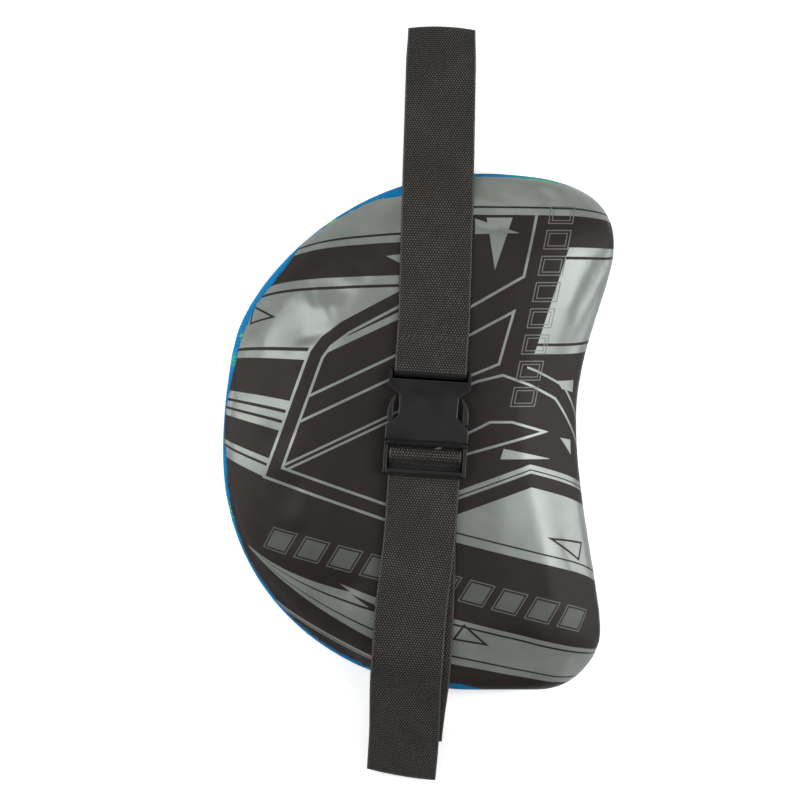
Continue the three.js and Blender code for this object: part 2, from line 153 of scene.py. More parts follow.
# %% Helpers for materials
def colour(code):
    """An sRGB hex colour as linear RGBA."""
    parts = [int(code[i : i + 2], 16) / 255 for i in (1, 3, 5)]
    return (*[c / 12.92 if c <= 0.04045 else ((c + 0.055) / 1.055) ** 2.4 for c in parts], 1.0)


def add(tree, kind, links=None, **settings):
    """A shader node; links maps an input's name or number to a value or a socket."""
    made = tree.nodes.new("ShaderNode" + kind)
    for name, value in settings.items():
        setattr(made, name, value)
    for name, value in (links or {}).items():
        if isinstance(value, bpy.types.NodeSocket):
            tree.links.new(value, made.inputs[name])
        else:
            made.inputs[name].default_value = value
    return made


def maths(tree, operation, *values):
    return add(tree, "Math", dict(enumerate(values)), operation=operation).outputs[0]


def dot_product(tree, one, other):
    return add(tree, "VectorMath", {0: one, 1: other}, operation="DOT_PRODUCT").outputs["Value"]


def remap(tree, value, low, high, to_low=0.0, to_high=1.0, **settings):
    """Stretches the range from low to high onto another."""
    ends = {"From Min": low, "From Max": high, "To Min": to_low, "To Max": to_high}
    return add(tree, "MapRange", {"Value": value, **ends}, **settings).outputs[0]


def mix_colours(tree, factor, one, other):
    return add(tree, "Mix", {0: factor, 6: one, 7: other}, data_type="RGBA").outputs[2]


def scaled(tree, tone, factor):
    return add(tree, "VectorMath", {0: tone, 3: factor}, operation="SCALE").outputs[0]


def noise(tree, where, scale, detail, **more):
    look = {"Vector": where, "Scale": scale, "Detail": detail, **more}
    return add(tree, "TexNoise", look).outputs[0]


def bump(tree, height, strength, distance, **more):
    depth = {"Height": height, "Strength": strength, "Distance": distance}
    return add(tree, "Bump", {**depth, **more}).outputs[0]


def object_place(tree):
    return add(tree, "TexCoord").outputs["Object"]


def new_material(name):
    made = bpy.data.materials.new(name)
    made.use_nodes = True
    made.node_tree.nodes.clear()
    return made, made.node_tree


def finish_surface(tree, shader):
    add(tree, "OutputMaterial", {"Surface": shader.outputs[0]})


def principled(tree, inputs):
    finish_surface(tree, add(tree, "BsdfPrincipled", inputs))


def dress(piece, *looks):
    piece.data.materials.clear()
    for look in looks:
        piece.data.materials.append(look)


def ramp(tree, factor, stops):
    """A colour ramp; stops are (position, colour)."""
    made = add(tree, "ValToRGB", {"Fac": factor})
    elements = made.color_ramp.elements
    for i, (position, tone) in enumerate(stops):
        element = elements[i] if i < 2 else elements.new(position)
        element.position = position
        element.color = tone
    return made.outputs[0]


# %% [markdown]
# ## Camera and light
# The camera hangs straight above the middle of the layout with a long lens. The pale
# floor takes a soft shadow. The room is bright near the horizon and dark overhead, as in
# a studio where the camera's own rig hangs there, and big soft panels at the sides put
# broad highlights on the glossy cover and thin ones along the buckle's edges, where a
# painted highlight on the flanks adds to them.

# %% Camera
CAMERA_HEIGHT = 1.39
lens = bpy.data.cameras.new("camera")
lens.sensor_width, lens.lens = 36.0, 84.9
lens.clip_start = 0.05
camera = new_object("camera", lens)
camera.location = (ORIGIN[0] * MM, ORIGIN[1] * MM, CAMERA_HEIGHT)
scene.camera = camera
scene.view_settings.view_transform = "Standard"

# %% World and lamps
WHITE = (1, 1, 1, 1)
ROOM_LOW, ROOM_OVERHEAD = 0.62, 0.1
world = bpy.data.worlds.new("studio")
scene.world = world
world.use_nodes = True
sky = world.node_tree
sky.nodes.clear()
ray = add(sky, "LightPath")
seen = maths(sky, "MAXIMUM", ray.outputs["Is Camera Ray"], ray.outputs["Is Transmission Ray"])
direction = add(sky, "TexCoord")
height = add(sky, "SeparateXYZ", {0: direction.outputs["Generated"]}).outputs[2]
level = remap(sky, height, 0.1, 0.95, ROOM_LOW, ROOM_OVERHEAD, interpolation_type="SMOOTHSTEP")
ambient = add(sky, "Background", {"Color": WHITE, "Strength": level})
backdrop = add(sky, "Background", {"Color": WHITE, "Strength": 1.0})
both = add(sky, "MixShader", {0: seen, 1: ambient.outputs[0], 2: backdrop.outputs[0]})
add(sky, "OutputWorld", {"Surface": both.outputs[0]})

LAMP_AIM = Vector((0, 0, 0.05))


def soft_panel(name, place, size, watts):
    data = bpy.data.lights.new(name, "AREA")
    data.shape = "RECTANGLE"
    data.size, data.size_y = size
    data.energy = watts
    made = new_object(name, data)
    made.location = place
    made.rotation_euler = (LAMP_AIM - Vector(place)).to_track_quat("-Z", "Y").to_euler()


soft_panel("panel_left", (-0.75, 0.3, 1.2), (0.35, 1.1), 8)
soft_panel("panel_right", (0.8, 0.0, 1.1), (0.3, 1.2), 8)
soft_panel("edge_left", (-1.3, 0.0, 0.6), (0.3, 1.6), 9)
soft_panel("edge_right", (1.3, 0.0, 0.6), (0.3, 1.6), 9)
soft_panel("panel_far", (0.1, 1.2, 0.9), (1.2, 0.4), 3)

# %% Floor
FLOOR_SIZE, FLOOR_GAP, FLOOR_LIFT = 4, 0.0004, 0.42
bm = bmesh.new()
bmesh.ops.create_grid(bm, x_segments=1, y_segments=1, size=FLOOR_SIZE)
floor = from_bmesh("floor", bm)
floor.location.z = -FLOOR_GAP
floor_look, tree = new_material("matt_white_board")
ray = add(tree, "LightPath")
board = add(tree, "BsdfDiffuse", {"Color": (0.9, 0.9, 0.9, 1)})
lift = maths(tree, "MULTIPLY", ray.outputs["Is Camera Ray"], FLOOR_LIFT)
glow = add(tree, "Emission", {"Color": WHITE, "Strength": lift})
finish_surface(tree, add(tree, "AddShader", {0: board.outputs[0], 1: glow.outputs[0]}))
dress(floor, floor_look)

# %% [markdown]
# ## The pad
# The real pad is a block of foam whose cover is pulled tight around it. It starts as
# the outline's ring of points, extruded in steps from the base, around the widest
# line and up over the rounded face. A voxel remesh turns that into even cloth, and a
# cloth simulation with a little air pressure lets it settle like a stuffed cover.


# %% The outline
OUTLINE_STEP = 3.0


def pad_outline():
    """The pad's outline from a few curves, as evenly spaced [x, y] points."""
    top, low, left = PAD_TOP, -PAD_BOTTOM, -PAD_LEFT
    right, lobe, hollow = PAD_RIGHT_UPPER, PAD_RIGHT_LOWER, PAD_HOLLOW
    curves = [
        ((58, top), (112, top), (right, top - 10), (right, top - 53)),
        ((right, top - 53), (right, top - 82), (hollow, 38), (hollow, -14)),
        ((hollow, -14), (hollow, -70), (lobe - 2, -128), (lobe, 45 + low)),
        ((lobe, 45 + low), (lobe + 1, 25 + low), (126, low), (103, low)),
        ((103, low), (85, low), (68, low), (50, low)),
        ((50, low), (-44, low), (left - 2, -144), (left, -34)),
        ((left, -34), (left, -8), (left + 5.5, 34), (left + 10.5, 49)),
        ((left + 10.5, 49), (left + 24, 90), (-40, top), (58, top)),
    ]
    points = []
    for curve in curves:
        knots = [Vector((x, y, 0)) for x, y in curve]
        points += [(p.x, p.y) for p in geometry.interpolate_bezier(*knots, 60)[:-1]]
    points = np.array(points + points[:1])
    along = np.concatenate([[0], np.cumsum(np.linalg.norm(np.diff(points, axis=0), axis=1))])
    places = np.linspace(0, along[-1], int(along[-1] / OUTLINE_STEP), endpoint=False)
    return np.stack([np.interp(places, along, points[:, k]) for k in (0, 1)], 1)


outline = pad_outline()
forward = np.roll(outline, -1, 0) - np.roll(outline, 1, 0)
outward = np.stack([-forward[:, 1], forward[:, 0]], 1)
outward /= np.linalg.norm(outward, axis=1)[:, None]
print("outline points", len(outline))


def edge_of(points):
    """For each [x, y]: the distance in from the outline, and the way out."""
    near = np.empty(len(points), int)
    for start in range(0, len(points), 4000):
        part = points[start : start + 4000]
        near[start : start + 4000] = ((part[:, None] - outline[None]) ** 2).sum(2).argmin(1)
    away = outward[near]
    return ((outline[near] - points) * away).sum(1), away


# %% The closed body
def pad_body(shrink):
    """The pad as a ring extruded level by level, with both ends filled."""
    bm = bmesh.new()
    ring = [bm.verts.new((0, 0, 0)) for _ in outline]
    edges = [bm.edges.new((ring[i], ring[i - 1])) for i in range(len(ring))]
    turns = [(-90 + 15 * i) for i in range(13)]
    for turn in turns:
        a = math.radians(turn)
        reach = BACK_ROUND if turn < 0 else FACE_ROUND
        height = WIDEST if turn < 0 else PAD_THICKNESS - WIDEST
        inset = reach * (1 - math.cos(a)) + shrink
        z = WIDEST + (height - shrink) * math.sin(a)
        if turn > turns[0]:
            grown = bmesh.ops.extrude_edge_only(bm, edges=edges)["geom"]
            edges = [g for g in grown if isinstance(g, bmesh.types.BMEdge) and g.is_boundary]
            new = [g for g in grown if isinstance(g, bmesh.types.BMVert)]
            order = {tuple(round(c, 6) for c in v.co): v for v in new}
            ring = [order[tuple(round(c, 6) for c in v.co)] for v in ring]
        flat = outline - outward * inset
        for vert, (x, y) in zip(ring, flat):
            vert.co = to_row([x, y, z])
        if turn == turns[0]:
            bmesh.ops.contextual_create(bm, geom=edges)
    bmesh.ops.contextual_create(bm, geom=edges)
    bmesh.ops.recalc_face_normals(bm, faces=bm.faces)
    return bm


VOXEL = 4.5
pad = from_bmesh("pad_cloth", pad_body(1.0))
remesh = pad.modifiers.new("remesh", "REMESH")
remesh.mode = "VOXEL"
remesh.voxel_size = VOXEL * MM
settle(pad)
report(pad)


# %% Where the belt lies
BUCKLE_X, BUCKLE_Y, TILT = 19.1, -17.5, math.radians(3.7)
TOP_OVERHANG, LOW_OVERHANG, TAIL_OVERHANG = 108.4, 64.3, 34.7


def belt_shift(y):
    """Sideways place of the belt's middle at a distance along it."""
    straight = BUCKLE_X + (y - BUCKLE_Y) * math.tan(TILT)
    upper = -0.034 * np.maximum(0, y - 60)
    lower = -3.3 * smooth(-y, 85, 165) + 1.7 * smooth(-y, 195, 245)
    return straight + upper + lower


def belt_heading(y):
    slope = (belt_shift(y + 4) - belt_shift(y - 4)) / 8
    skew = math.radians(6) * smooth(-y, PAD_BOTTOM + TAIL_OVERHANG, PAD_BOTTOM + LOW_OVERHANG)
    return np.arctan(slope) + skew


def tail_drift(y):
    """The free tail lies a little to one side of the run that covers it."""
    return 5.6 * smooth(-y, 80, 165) - 3.4 * smooth(-y, 195, 245)


# %% [markdown]
# The cover is held near its seam's level and where it rests on the floor, so those
# points are pinned. Pressure does the rest, and no point may move further than a cap.

# %% Let the cover settle
bm = bmesh_of(pad.data)
for _ in range(4):
    bmesh.ops.smooth_vert(
        bm, verts=bm.verts, factor=0.5, use_axis_x=True, use_axis_y=True, use_axis_z=True
    )
bm.to_mesh(pad.data)
bm.free()


PRESSURE, STEPS, MOVE_CAP = 4.0, 20, 3.0
PINNED_BELOW, PINNED_LEVEL, PINNED_HALF = 4, 28, 3


def inflate(piece):
    start = coordinates(piece.data)
    height = start[:, 2] / MM
    pins = piece.vertex_groups.new(name="pins")
    held = (height < PINNED_BELOW) | (np.abs(height - PINNED_LEVEL) < PINNED_HALF)
    pins.add(np.nonzero(held)[0].tolist(), 1.0, "REPLACE")
    cloth = piece.modifiers.new("cloth", "CLOTH")
    cloth.settings.quality = 5
    cloth.settings.mass = 0.3
    cloth.settings.use_pressure = True
    cloth.settings.uniform_pressure_force = PRESSURE
    cloth.settings.vertex_group_mass = "pins"
    cloth.settings.effector_weights.gravity = 0
    cloth.point_cache.frame_end = STEPS
    for step in range(1, STEPS + 1):
        scene.frame_set(step)
    settle(piece)
    moved = coordinates(piece.data) - start
    length = np.linalg.norm(moved, axis=1, keepdims=True)
    moved *= np.minimum(1, MOVE_CAP * MM / np.maximum(length, 1e-9))
    set_coordinates(piece.data, start + moved)
    piece.vertex_groups.clear()
    print("cover moved by up to", round(float(length.max() / MM), 2), "mm before the cap")


inflate(pad)

# %% [markdown]
# One subdivision makes the cloth fine enough for its small shapes. Then a few vertex
# moves give it what the sewing and the belt do to it: a crown that falls away towards
# the edge, a valley under the webbing, a channel and two recesses in the back, and
# creases where the cover is drawn tight.

# %% Shape the cover
finer = pad.modifiers.new("finer", "SUBSURF")
finer.levels = finer.render_levels = 1
settle(pad)

CROWN_DROP, SLACK, UNDER_BELT = 4.2, 0.22, 57.9
CHANNEL_ROOF, KEEPER_RECESS = 3.8, 1.7
KEEPERS = {"keeper_upper": 96.0, "keeper_lower": -128.0}
CREASES = [  # from, to, depth, width
    ((-66, 84), (-52, 50), 0.45, 2.6),
    ((-56, 82), (-47, 54), 0.35, 2.4),
    ((-79, 38), (-52, 50), 0.4, 2.6),
    ((-6, 142), (0, 148), 0.8, 3.0),
    ((-112, 20), (-100, 44), 0.3, 4.0),
    ((120, 60), (128, 20), 0.5, 4.0),
    ((118, -70), (126, -96), 0.6, 4.0),
    ((60, 148), (84, 140), 0.5, 4.0),
    ((-90, -96), (-106, -70), 0.6, 4.0),
]


def shape_cover(piece):
    p = to_layout(coordinates(piece.data))
    inside, _ = edge_of(p[:, :2])
    across = p[:, 0] - belt_shift(p[:, 1])
    corridor = 1 - smooth(np.abs(across), 26, 52)
    upper = smooth(p[:, 2], 30, 50)
    p[:, 2] -= CROWN_DROP * (1 - smooth(inside, 18, 88)) * upper * (1 - 0.75 * corridor)
    for (x0, y0), (x1, y1), depth, width in CREASES:
        run = np.array([x1 - x0, y1 - y0], float)
        t = np.clip(((p[:, :2] - (x0, y0)) @ run) / (run @ run), 0, 1)
        gap = np.linalg.norm(p[:, :2] - np.array([x0, y0]) - t[:, None] * run, axis=1)
        fade = np.sin(np.pi * np.clip(t, 0.08, 0.92))
        valley = np.exp(-((gap / width) ** 2))
        shoulder = 0.45 * np.exp(-(((gap - 1.9 * width) / width) ** 2))
        p[:, 2] -= upper * depth * fade * (valley - shoulder)
    slack = np.sin(p[:, 0] * 0.061 + 1.3) * np.sin(p[:, 1] * 0.047 + 0.6)
    slack += 0.6 * np.sin(p[:, 0] * 0.11 - p[:, 1] * 0.09)
    p[:, 2] += SLACK * slack * upper
    ceiling = UNDER_BELT + 2.2 * smooth(np.abs(across), 26, 70)
    eased = ceiling - 2 + 2 * np.tanh((p[:, 2] - ceiling + 2) / 2)
    p[:, 2] = np.where(p[:, 2] > ceiling - 2, eased, p[:, 2])
    lower = 1 - smooth(p[:, 2], 6, 14)
    channel = CHANNEL_ROOF * (1 - smooth(np.abs(across), 26.8, 31))
    for y in KEEPERS.values():
        beside = 1 - smooth(np.abs(across), 42.5, 46)
        near = 1 - smooth(np.abs(p[:, 1] - y), 14, 17.5)
        channel = np.maximum(channel, KEEPER_RECESS * beside * near)
    p[:, 2] = np.maximum(p[:, 2], 0.05)
    p[:, 2] += channel * lower
    set_coordinates(piece.data, to_row(p))


shape_cover(pad)
report(pad)

# %% [markdown]
# The seam between the two covers doesn't run level. It stands higher where the blue
# back was pulled up over the edge, and sinks out of sight on the hollow side. So the
# mesh is bent until the seam is level, cut there, and bent back.

# %% Cut the covers apart
SEAM_MIDDLE = (13.0, -22.0)
# Each pair is a direction from the middle in degrees, and how far in from the edge the
# seam shows there. Where it is out of sight, the number is its height over the widest
# line instead, nought or less.
SEAM_INSETS = [
    (-174, 2.2), (-166, 3.2), (-159, 2.2), (-137, 2.2), (-125, 2.5), (-101, 2.3), (-87, 7.0),
    (-83, 6.6), (-79, 4.6), (-76, 2.0), (-74, -1.0), (-45, -4.0), (-34, -1.0), (-28, 0.8),
    (-22, -1.0), (0, -4.0), (40, -4.0), (54, -1.0), (57, 0.6), (60, 2.5), (64, 3.3), (77, 3.0),
    (90, 8.0), (94, 8.4), (98, 4.4), (102, 2.2), (108, 2.3), (116, 1.4), (121, 0.6), (125, 2.8),
    (130, 4.8), (139, 4.5), (154, 4.2), (161, 4.0), (168, 2.5), (173, 1.2), (180, 1.0),
]
SEAM_SMOOTHING, HEM, SEAM_TUCK = 40, 2.6, 0.7


def seam_turn(points):
    """Each point's direction from the middle, in degrees."""
    return np.degrees(np.arctan2(points[:, 1] - SEAM_MIDDLE[1], points[:, 0] - SEAM_MIDDLE[0]))


def seam_levels():
    """The seam's height in each direction: read off the cover where it is that far in."""
    p = to_layout(coordinates(pad.data))
    p = p[p[:, 2] > WIDEST]
    inside = edge_of(p[:, :2])[0]
    turn = seam_turn(p)
    levels = []
    for angle, inset in SEAM_INSETS:
        near = np.abs((turn - angle + 180) % 360 - 180) < 2.5
        gap = np.abs(inside[near] - inside[near].min() - inset)
        found = p[near, 2][np.argsort(gap)[:8]].mean()
        levels.append(found if inset > 0 else WIDEST + inset)
    return np.array(levels)


SEAM_LEVELS = seam_levels()
print("seam between", SEAM_LEVELS.min().round(1), "and", SEAM_LEVELS.max().round(1), "mm high")


def seam_height(points):
    angles = np.array([a for a, _ in SEAM_INSETS], float)
    fine = np.arange(-180, 180)
    level = np.interp(fine, angles, SEAM_LEVELS, period=360)
    kernel = np.hanning(7) / np.hanning(7).sum()
    level = np.convolve(np.tile(level, 3), kernel, "same")[360:720]
    return np.interp(seam_turn(points), fine, level, period=360)


def lift_verts(bm, sign):
    """Moves every vertex up or down by the seam's height at its place."""
    level = seam_height(to_layout([v.co for v in bm.verts]))
    for vert, h in zip(bm.verts, level):
        vert.co.z += sign * h * MM


def keep_side(bm, cut, keep_upper):
    """Cuts a mesh level at a point and keeps what is above or below."""
    bmesh.ops.bisect_plane(
        bm, geom=bm.verts[:] + bm.edges[:] + bm.faces[:], dist=1e-6, plane_co=cut,
        plane_no=(0, 0, 1), clear_outer=not keep_upper, clear_inner=keep_upper,
    )


def cover_half(name, keep_upper):
    """One side of the pad's skin, with its edge turned in along the seam."""
    bm = bmesh_of(pad.data)
    lift_verts(bm, -1)
    keep_side(bm, (0, 0, 0), keep_upper)
    lift_verts(bm, 1)
    rim = [e for e in bm.edges if e.is_boundary]
    loop = {v for e in rim for v in e.verts}
    beside = {v: [e.other_vert(v) for e in v.link_edges if e.is_boundary] for v in loop}
    for _ in range(SEAM_SMOOTHING):
        fair = {v: sum((n.co for n in near), Vector()) / len(near) for v, near in beside.items()}
        for v, co in fair.items():
            v.co = v.co.lerp(co, 0.5)
    grown = bmesh.ops.extrude_edge_only(bm, edges=rim)["geom"]
    hem = [g for g in grown if isinstance(g, bmesh.types.BMVert)]
    _, away = edge_of(to_layout([v.co for v in hem])[:, :2])
    for vert, (x, y) in zip(hem, away):
        vert.co += Vector((-x, -y, -0.2 if keep_upper else -0.5)) * HEM * MM
    for vert in {v for e in rim if e.is_valid for v in e.verts}:
        direction = edge_of(to_layout([vert.co])[:, :2])[1][0]
        vert.co -= Vector((*direction, 0)) * SEAM_TUCK * MM
    bmesh.ops.recalc_face_normals(bm, faces=bm.faces)
    made = from_bmesh(name, bm)
    top = max(made.data.polygons, key=lambda f: f.center.z)
    low = min(made.data.polygons, key=lambda f: f.center.z)
    if top.normal.z < 0 if keep_upper else low.normal.z > 0:
        made.data.flip_normals()
    return made


cover_face = cover_half("cover_face", True)
cover_back = cover_half("cover_back", False)
for piece in (cover_face, cover_back):
    piece.data.shade_smooth()
    report(piece)

# %% [markdown]
# The print needs a flat map that follows the cloth. On the flat of the face that map is
# simply the place seen from above, and on the rounding the arc length is unrolled
# outwards, so that stripes don't smear down the sides.


# %% Map the print
def unroll(piece):
    p = to_layout(coordinates(piece.data))
    inside, away = edge_of(p[:, :2])
    reach = np.clip(inside, 0, FACE_ROUND)
    turn = np.arccos(np.clip(1 - reach / FACE_ROUND, -1, 1))
    length = (math.pi / 2 - turn) * (FACE_ROUND + PAD_THICKNESS - WIDEST) / 2
    extra = np.maximum(0, length - (FACE_ROUND - reach)) * (inside < FACE_ROUND)
    below = np.maximum(0, WIDEST - p[:, 2]) * (inside < BACK_ROUND)
    flat = p[:, :2] + away * (extra + below)[:, None]
    layer = piece.data.uv_layers.new(name="print")
    corners = np.empty(len(piece.data.loops), int)
    piece.data.loops.foreach_get("vertex_index", corners)
    layer.data.foreach_set("uv", flat[corners].ravel())


unroll(cover_face)
unroll(cover_back)

# %% [markdown]
# ## The printed face
# The face is coated polyester cloth with a screen print: metallic silver ink on warm
# near-black. The print is drawn in the shader as a poster would be laid out: bands
# from a ramp, then straight-edged shapes on top. A shape's distance comes from its
# edges, one dot product each, because a straight edge is all that each stripe needs.


# %% Drawing with distances
def shape_distance(tree, place, points, closed=True):
    """Signed distance to a convex shape, its points anticlockwise, negative inside."""
    pairs = zip(points, points[1:] + points[:1]) if closed else zip(points, points[1:])
    result = None
    for (x0, y0), (x1, y1) in pairs:
        length = math.hypot(x1 - x0, y1 - y0)
        nx, ny = (y1 - y0) / length, (x0 - x1) / length
        edge = dot_product(tree, place, (nx, ny, -(nx * x0 + ny * y0)))
        if result is not None:
            edge = maths(tree, "MAXIMUM", result, edge)
        result = edge
    return result


def stroke(tree, distance, low, high):
    """One between two distances, nought elsewhere."""
    middle, half = (low + high) / 2, (high - low) / 2
    return maths(tree, "COMPARE", distance, middle, half)


def fill(tree, distance, edge=0.0):
    return maths(tree, "LESS_THAN", distance, edge)


def paint(tree, tone, mask, value):
    """Lays a tone over another where a mask is one."""
    return add(tree, "Mix", {0: mask, 2: tone, 3: value}, data_type="FLOAT").outputs[0]


def overlap(tree, *masks):
    result = masks[0]
    for mask in masks[1:]:
        result = maths(tree, "MULTIPLY", result, mask)
    return result


# %% Bands of the print
LEFT_BANDS = [  # silver from, to
    (-149.0, -147.9), (-147.0, -144.6), (-51, -42.9), (-40.9, -37), (-16.3, -11.1),
    (-9.0, -4.1), (-1.9, 4.2), (30.4, 35.8), (38.1, 76.7), (78.8, 85.0), (108.3, 113.5),
    (115.3, 300),
]
LEFT_FAN = [(0.55, 0.635), (0.655, 0.785), (0.80, 0.87)]  # slopes from FAN_START
RIGHT_BANDS = [
    (-204, -198.3), (-196.9, -174.6), (-173.2, -170), (-115.5, -109.4), (-108.2, -40),
    (32.5, 38.0), (40.0, 99.5), (101.5, 108), (131.3, 136.5), (138.1, 300),
]


def bands(tree, height, stripes):
    """One on each stripe, nought between them."""
    result = 0.0
    for low, high in stripes:
        result = maths(tree, "MAXIMUM", result, stroke(tree, height, low, high))
    return result


def leaning(tree, x, y, middle, lean, high, low, upper=0.0):
    """Height along stripes that lean more the lower they lie."""
    slope = remap(tree, y, high, low, upper, lean, interpolation_type="SMOOTHSTEP")
    away = maths(tree, "SUBTRACT", x, middle)
    return maths(tree, "MULTIPLY_ADD", slope, away, y)


# %% Shapes of the print
PANEL = [(20, 90), (-42, 57.2), (-57, 46), (-65, 35.3), (-98, -55), (20, -96.5)]
PANEL_SIDE = [(-65, 35.3), (-98, -55)]
FAN_START = (-116.5, -104.5)
RIDGE = [(180, -84), (93, -61.8), (0, -95.4)]
FLANK = [(96, 35.3), (120, 108.7)]
PANE = [(40, 59), (88.3, 86.5), (98, 131)]
WINDOW = [(30, 8), (70.6, 24.7), (81.9, 64.2), (30, 36.6)]
BLADE = [(20, -46.8), (106.6, -22.6), (79.1, -14.8), (63.5, -14.8), (20, -36.7)]
ARCH = [(140, -31), (127, -15.5), (113, 1.4), (92.5, 11.3), (72.7, 18.4), (55, 14.1), (20, 0.2)]
HALVES_MEET, RIGHT_FROM, RIGHT_TO = 15.0, -42.0, 131.3
PANEL_LINES = [(-2.0, 0.0), (-12.4, -10.5)]
PANEL_INNER = -12.4
PANEL_STRIPES = [(-12.4, -10.6), (-8.4, -6.6), (17.0, 19.0), (32.0, 34.0), (57.5, 62.5)]
RIDGE_LINES = [(9.5, 11.4), (12.3, 15.5)]
BLOCK_LINES = [(-0.8, 0.0), (-3.0, -2.3)]
BLOCK_TONE, LOW_BLOCK_LINE, LOW_BLOCK_FILL = 0.55, 0.42, 0.36
SILVER_SHAPES = [
    [(-9.9, 101.7), (1.4, 96), (1.4, 103.1)],
    [(-43, -129.9), (-17.6, -149.7), (-17.6, -139.4)],
    [(67, 91.8), (79.8, 129.2), (61.4, 129.2)],
    [(53, 117.2), (84.7, 117.9), (53, 128.5)],
    [(116.5, -26.8), (127.8, -38.8), (127.8, -28.2)],
    [(113, 13.4), (118, 7.5), (130, 5), (130, 13.4)],
]
DARK_SHAPES = [  # the last is painted shade: dark ink under the slot at the socket's end, where shadow falls and no silver may show
    [(-35.3, -137), (-17.6, -149.7), (-17.6, -144.7)],
    [(118.6, -65.7), (130, -68), (123.6, -60.7)],
    [(-6, 14.0), (46, 11.2), (46, 16.8), (-6, 19.4)],
]
DARK_OUTLINES = [
    [(-112, 55.8), (-89, 59.3), (-112, 72)],
    [(104.1, -97.1), (131.3, -114.7), (136, -101)],
    [(36.7, -169.4), (63.5, -174.7), (45.2, -158.1)],
]


def block_row(tree, place, start, end, count, half, lean):
    """Distance to a row of plain slanted blocks, and where the row runs."""
    run = (Vector(end) - Vector(start)).normalized()
    side = Vector((-run.y, run.x))
    along_axis = run + lean * side
    pitch = (Vector(end) - Vector(start)).length / count
    along = dot_product(tree, place, (*along_axis, -along_axis.dot(Vector(start))))
    across = dot_product(tree, place, (*side, -side.dot(Vector(start))))
    wave = maths(tree, "PINGPONG", along, pitch / 2)
    ends = maths(tree, "SUBTRACT", 0.12 * pitch, wave)
    out = maths(tree, "ABSOLUTE", across)
    edges = maths(tree, "SUBTRACT", out, half)
    distance = maths(tree, "MAXIMUM", ends, edges)
    return distance, stroke(tree, along, 0, pitch * count)


def draw_left(tree, place, x, y):
    """Bands, and over them a dark panel with nested outlines and slanting stripes."""
    height = leaning(tree, x, y, -105.0, 0.48, 70.0, -90.0, -0.03)
    tone = bands(tree, height, LEFT_BANDS)
    beside = fill(tree, shape_distance(tree, place, PANEL_SIDE, closed=False))
    tone = paint(tree, tone, overlap(tree, beside, stroke(tree, height, -80, 20)), 0.0)
    run = maths(tree, "SUBTRACT", x, FAN_START[0])
    drop = maths(tree, "SUBTRACT", FAN_START[1], y)
    spread = maths(tree, "DIVIDE", drop, run)
    spread = maths(tree, "MULTIPLY_ADD", run, 0.002, spread)
    onward = maths(tree, "GREATER_THAN", run, 3.0)
    fan = bands(tree, spread, LEFT_FAN)
    tone = paint(tree, tone, overlap(tree, fan, onward), 1.0)
    panel = shape_distance(tree, place, PANEL, closed=False)
    inner = fill(tree, panel, PANEL_INNER)
    slant = dot_product(tree, place, (-0.47, 1.0, 0.0))
    tone = paint(tree, tone, fill(tree, panel), 0.0)
    for low, high in PANEL_LINES:
        tone = paint(tree, tone, stroke(tree, panel, low, high), 1.0)
    for low, high in PANEL_STRIPES:
        tone = paint(tree, tone, overlap(tree, stroke(tree, slant, low, high), inner), 1.0)
    return tone


def draw_right(tree, place, x, y):
    """Bands, cut back by a slanting flank above and by a ridge of silver below."""
    tone = bands(tree, leaning(tree, x, y, 99.5, 0.25, 40.0, -60.0), RIGHT_BANDS)
    flank = shape_distance(tree, place, FLANK, closed=False)
    middle = stroke(tree, y, RIGHT_FROM, RIGHT_TO)
    tone = paint(tree, tone, overlap(tree, fill(tree, flank), middle), 0.0)
    ridge = shape_distance(tree, place, RIDGE, closed=False)
    above = maths(tree, "GREATER_THAN", ridge, 0.0)
    low = maths(tree, "LESS_THAN", y, -41.9)
    tone = paint(tree, tone, overlap(tree, above, low), 0.0)
    for start, end in RIDGE_LINES:
        tone = paint(tree, tone, stroke(tree, ridge, start, end), 1.0)
    pane = stroke(tree, shape_distance(tree, place, PANE, closed=False), -1.9, 0)
    tone = paint(tree, tone, overlap(tree, pane, middle), 1.0)
    for shape in (WINDOW, BLADE):
        tone = paint(tree, tone, stroke(tree, shape_distance(tree, place, shape), -1.8, 0), 1.0)
    arch = shape_distance(tree, place, ARCH, closed=False)
    outer = maths(tree, "GREATER_THAN", x, 90.0)
    tone = paint(tree, tone, overlap(tree, stroke(tree, arch, -1.8, 0), middle), 1.0)
    return paint(tree, tone, overlap(tree, stroke(tree, arch, 9.4, 11.0), outer, middle), 1.0)


def draw_print(tree, place, x, y):
    """The tone of the whole print: nought for the dark ink, one for silver."""
    side = maths(tree, "GREATER_THAN", x, HALVES_MEET)
    tone = paint(tree, draw_left(tree, place, x, y), side, draw_right(tree, place, x, y))
    for shapes, value in ((SILVER_SHAPES, 1.0), (DARK_SHAPES, 0.0)):
        for shape in shapes:
            tone = paint(tree, tone, fill(tree, shape_distance(tree, place, shape)), value)
    for shape in DARK_OUTLINES:
        tone = paint(tree, tone, stroke(tree, shape_distance(tree, place, shape), -1.5, 0), 0.0)
    blocks, run = block_row(tree, place, (117.2, 141.2), (86.1, -7.1), 8, 8.8, 0.22)
    for low, high in BLOCK_LINES:
        tone = paint(tree, tone, overlap(tree, stroke(tree, blocks, low, high), run), BLOCK_TONE)
    blocks, run = block_row(tree, place, (-97.4, -97.0), (135.6, -158.0), 10, 8.6, -0.3)
    tone = paint(tree, tone, overlap(tree, stroke(tree, blocks, -0.8, 0.0), run), LOW_BLOCK_LINE)
    return paint(tree, tone, overlap(tree, fill(tree, blocks, -2.0), run), LOW_BLOCK_FILL)


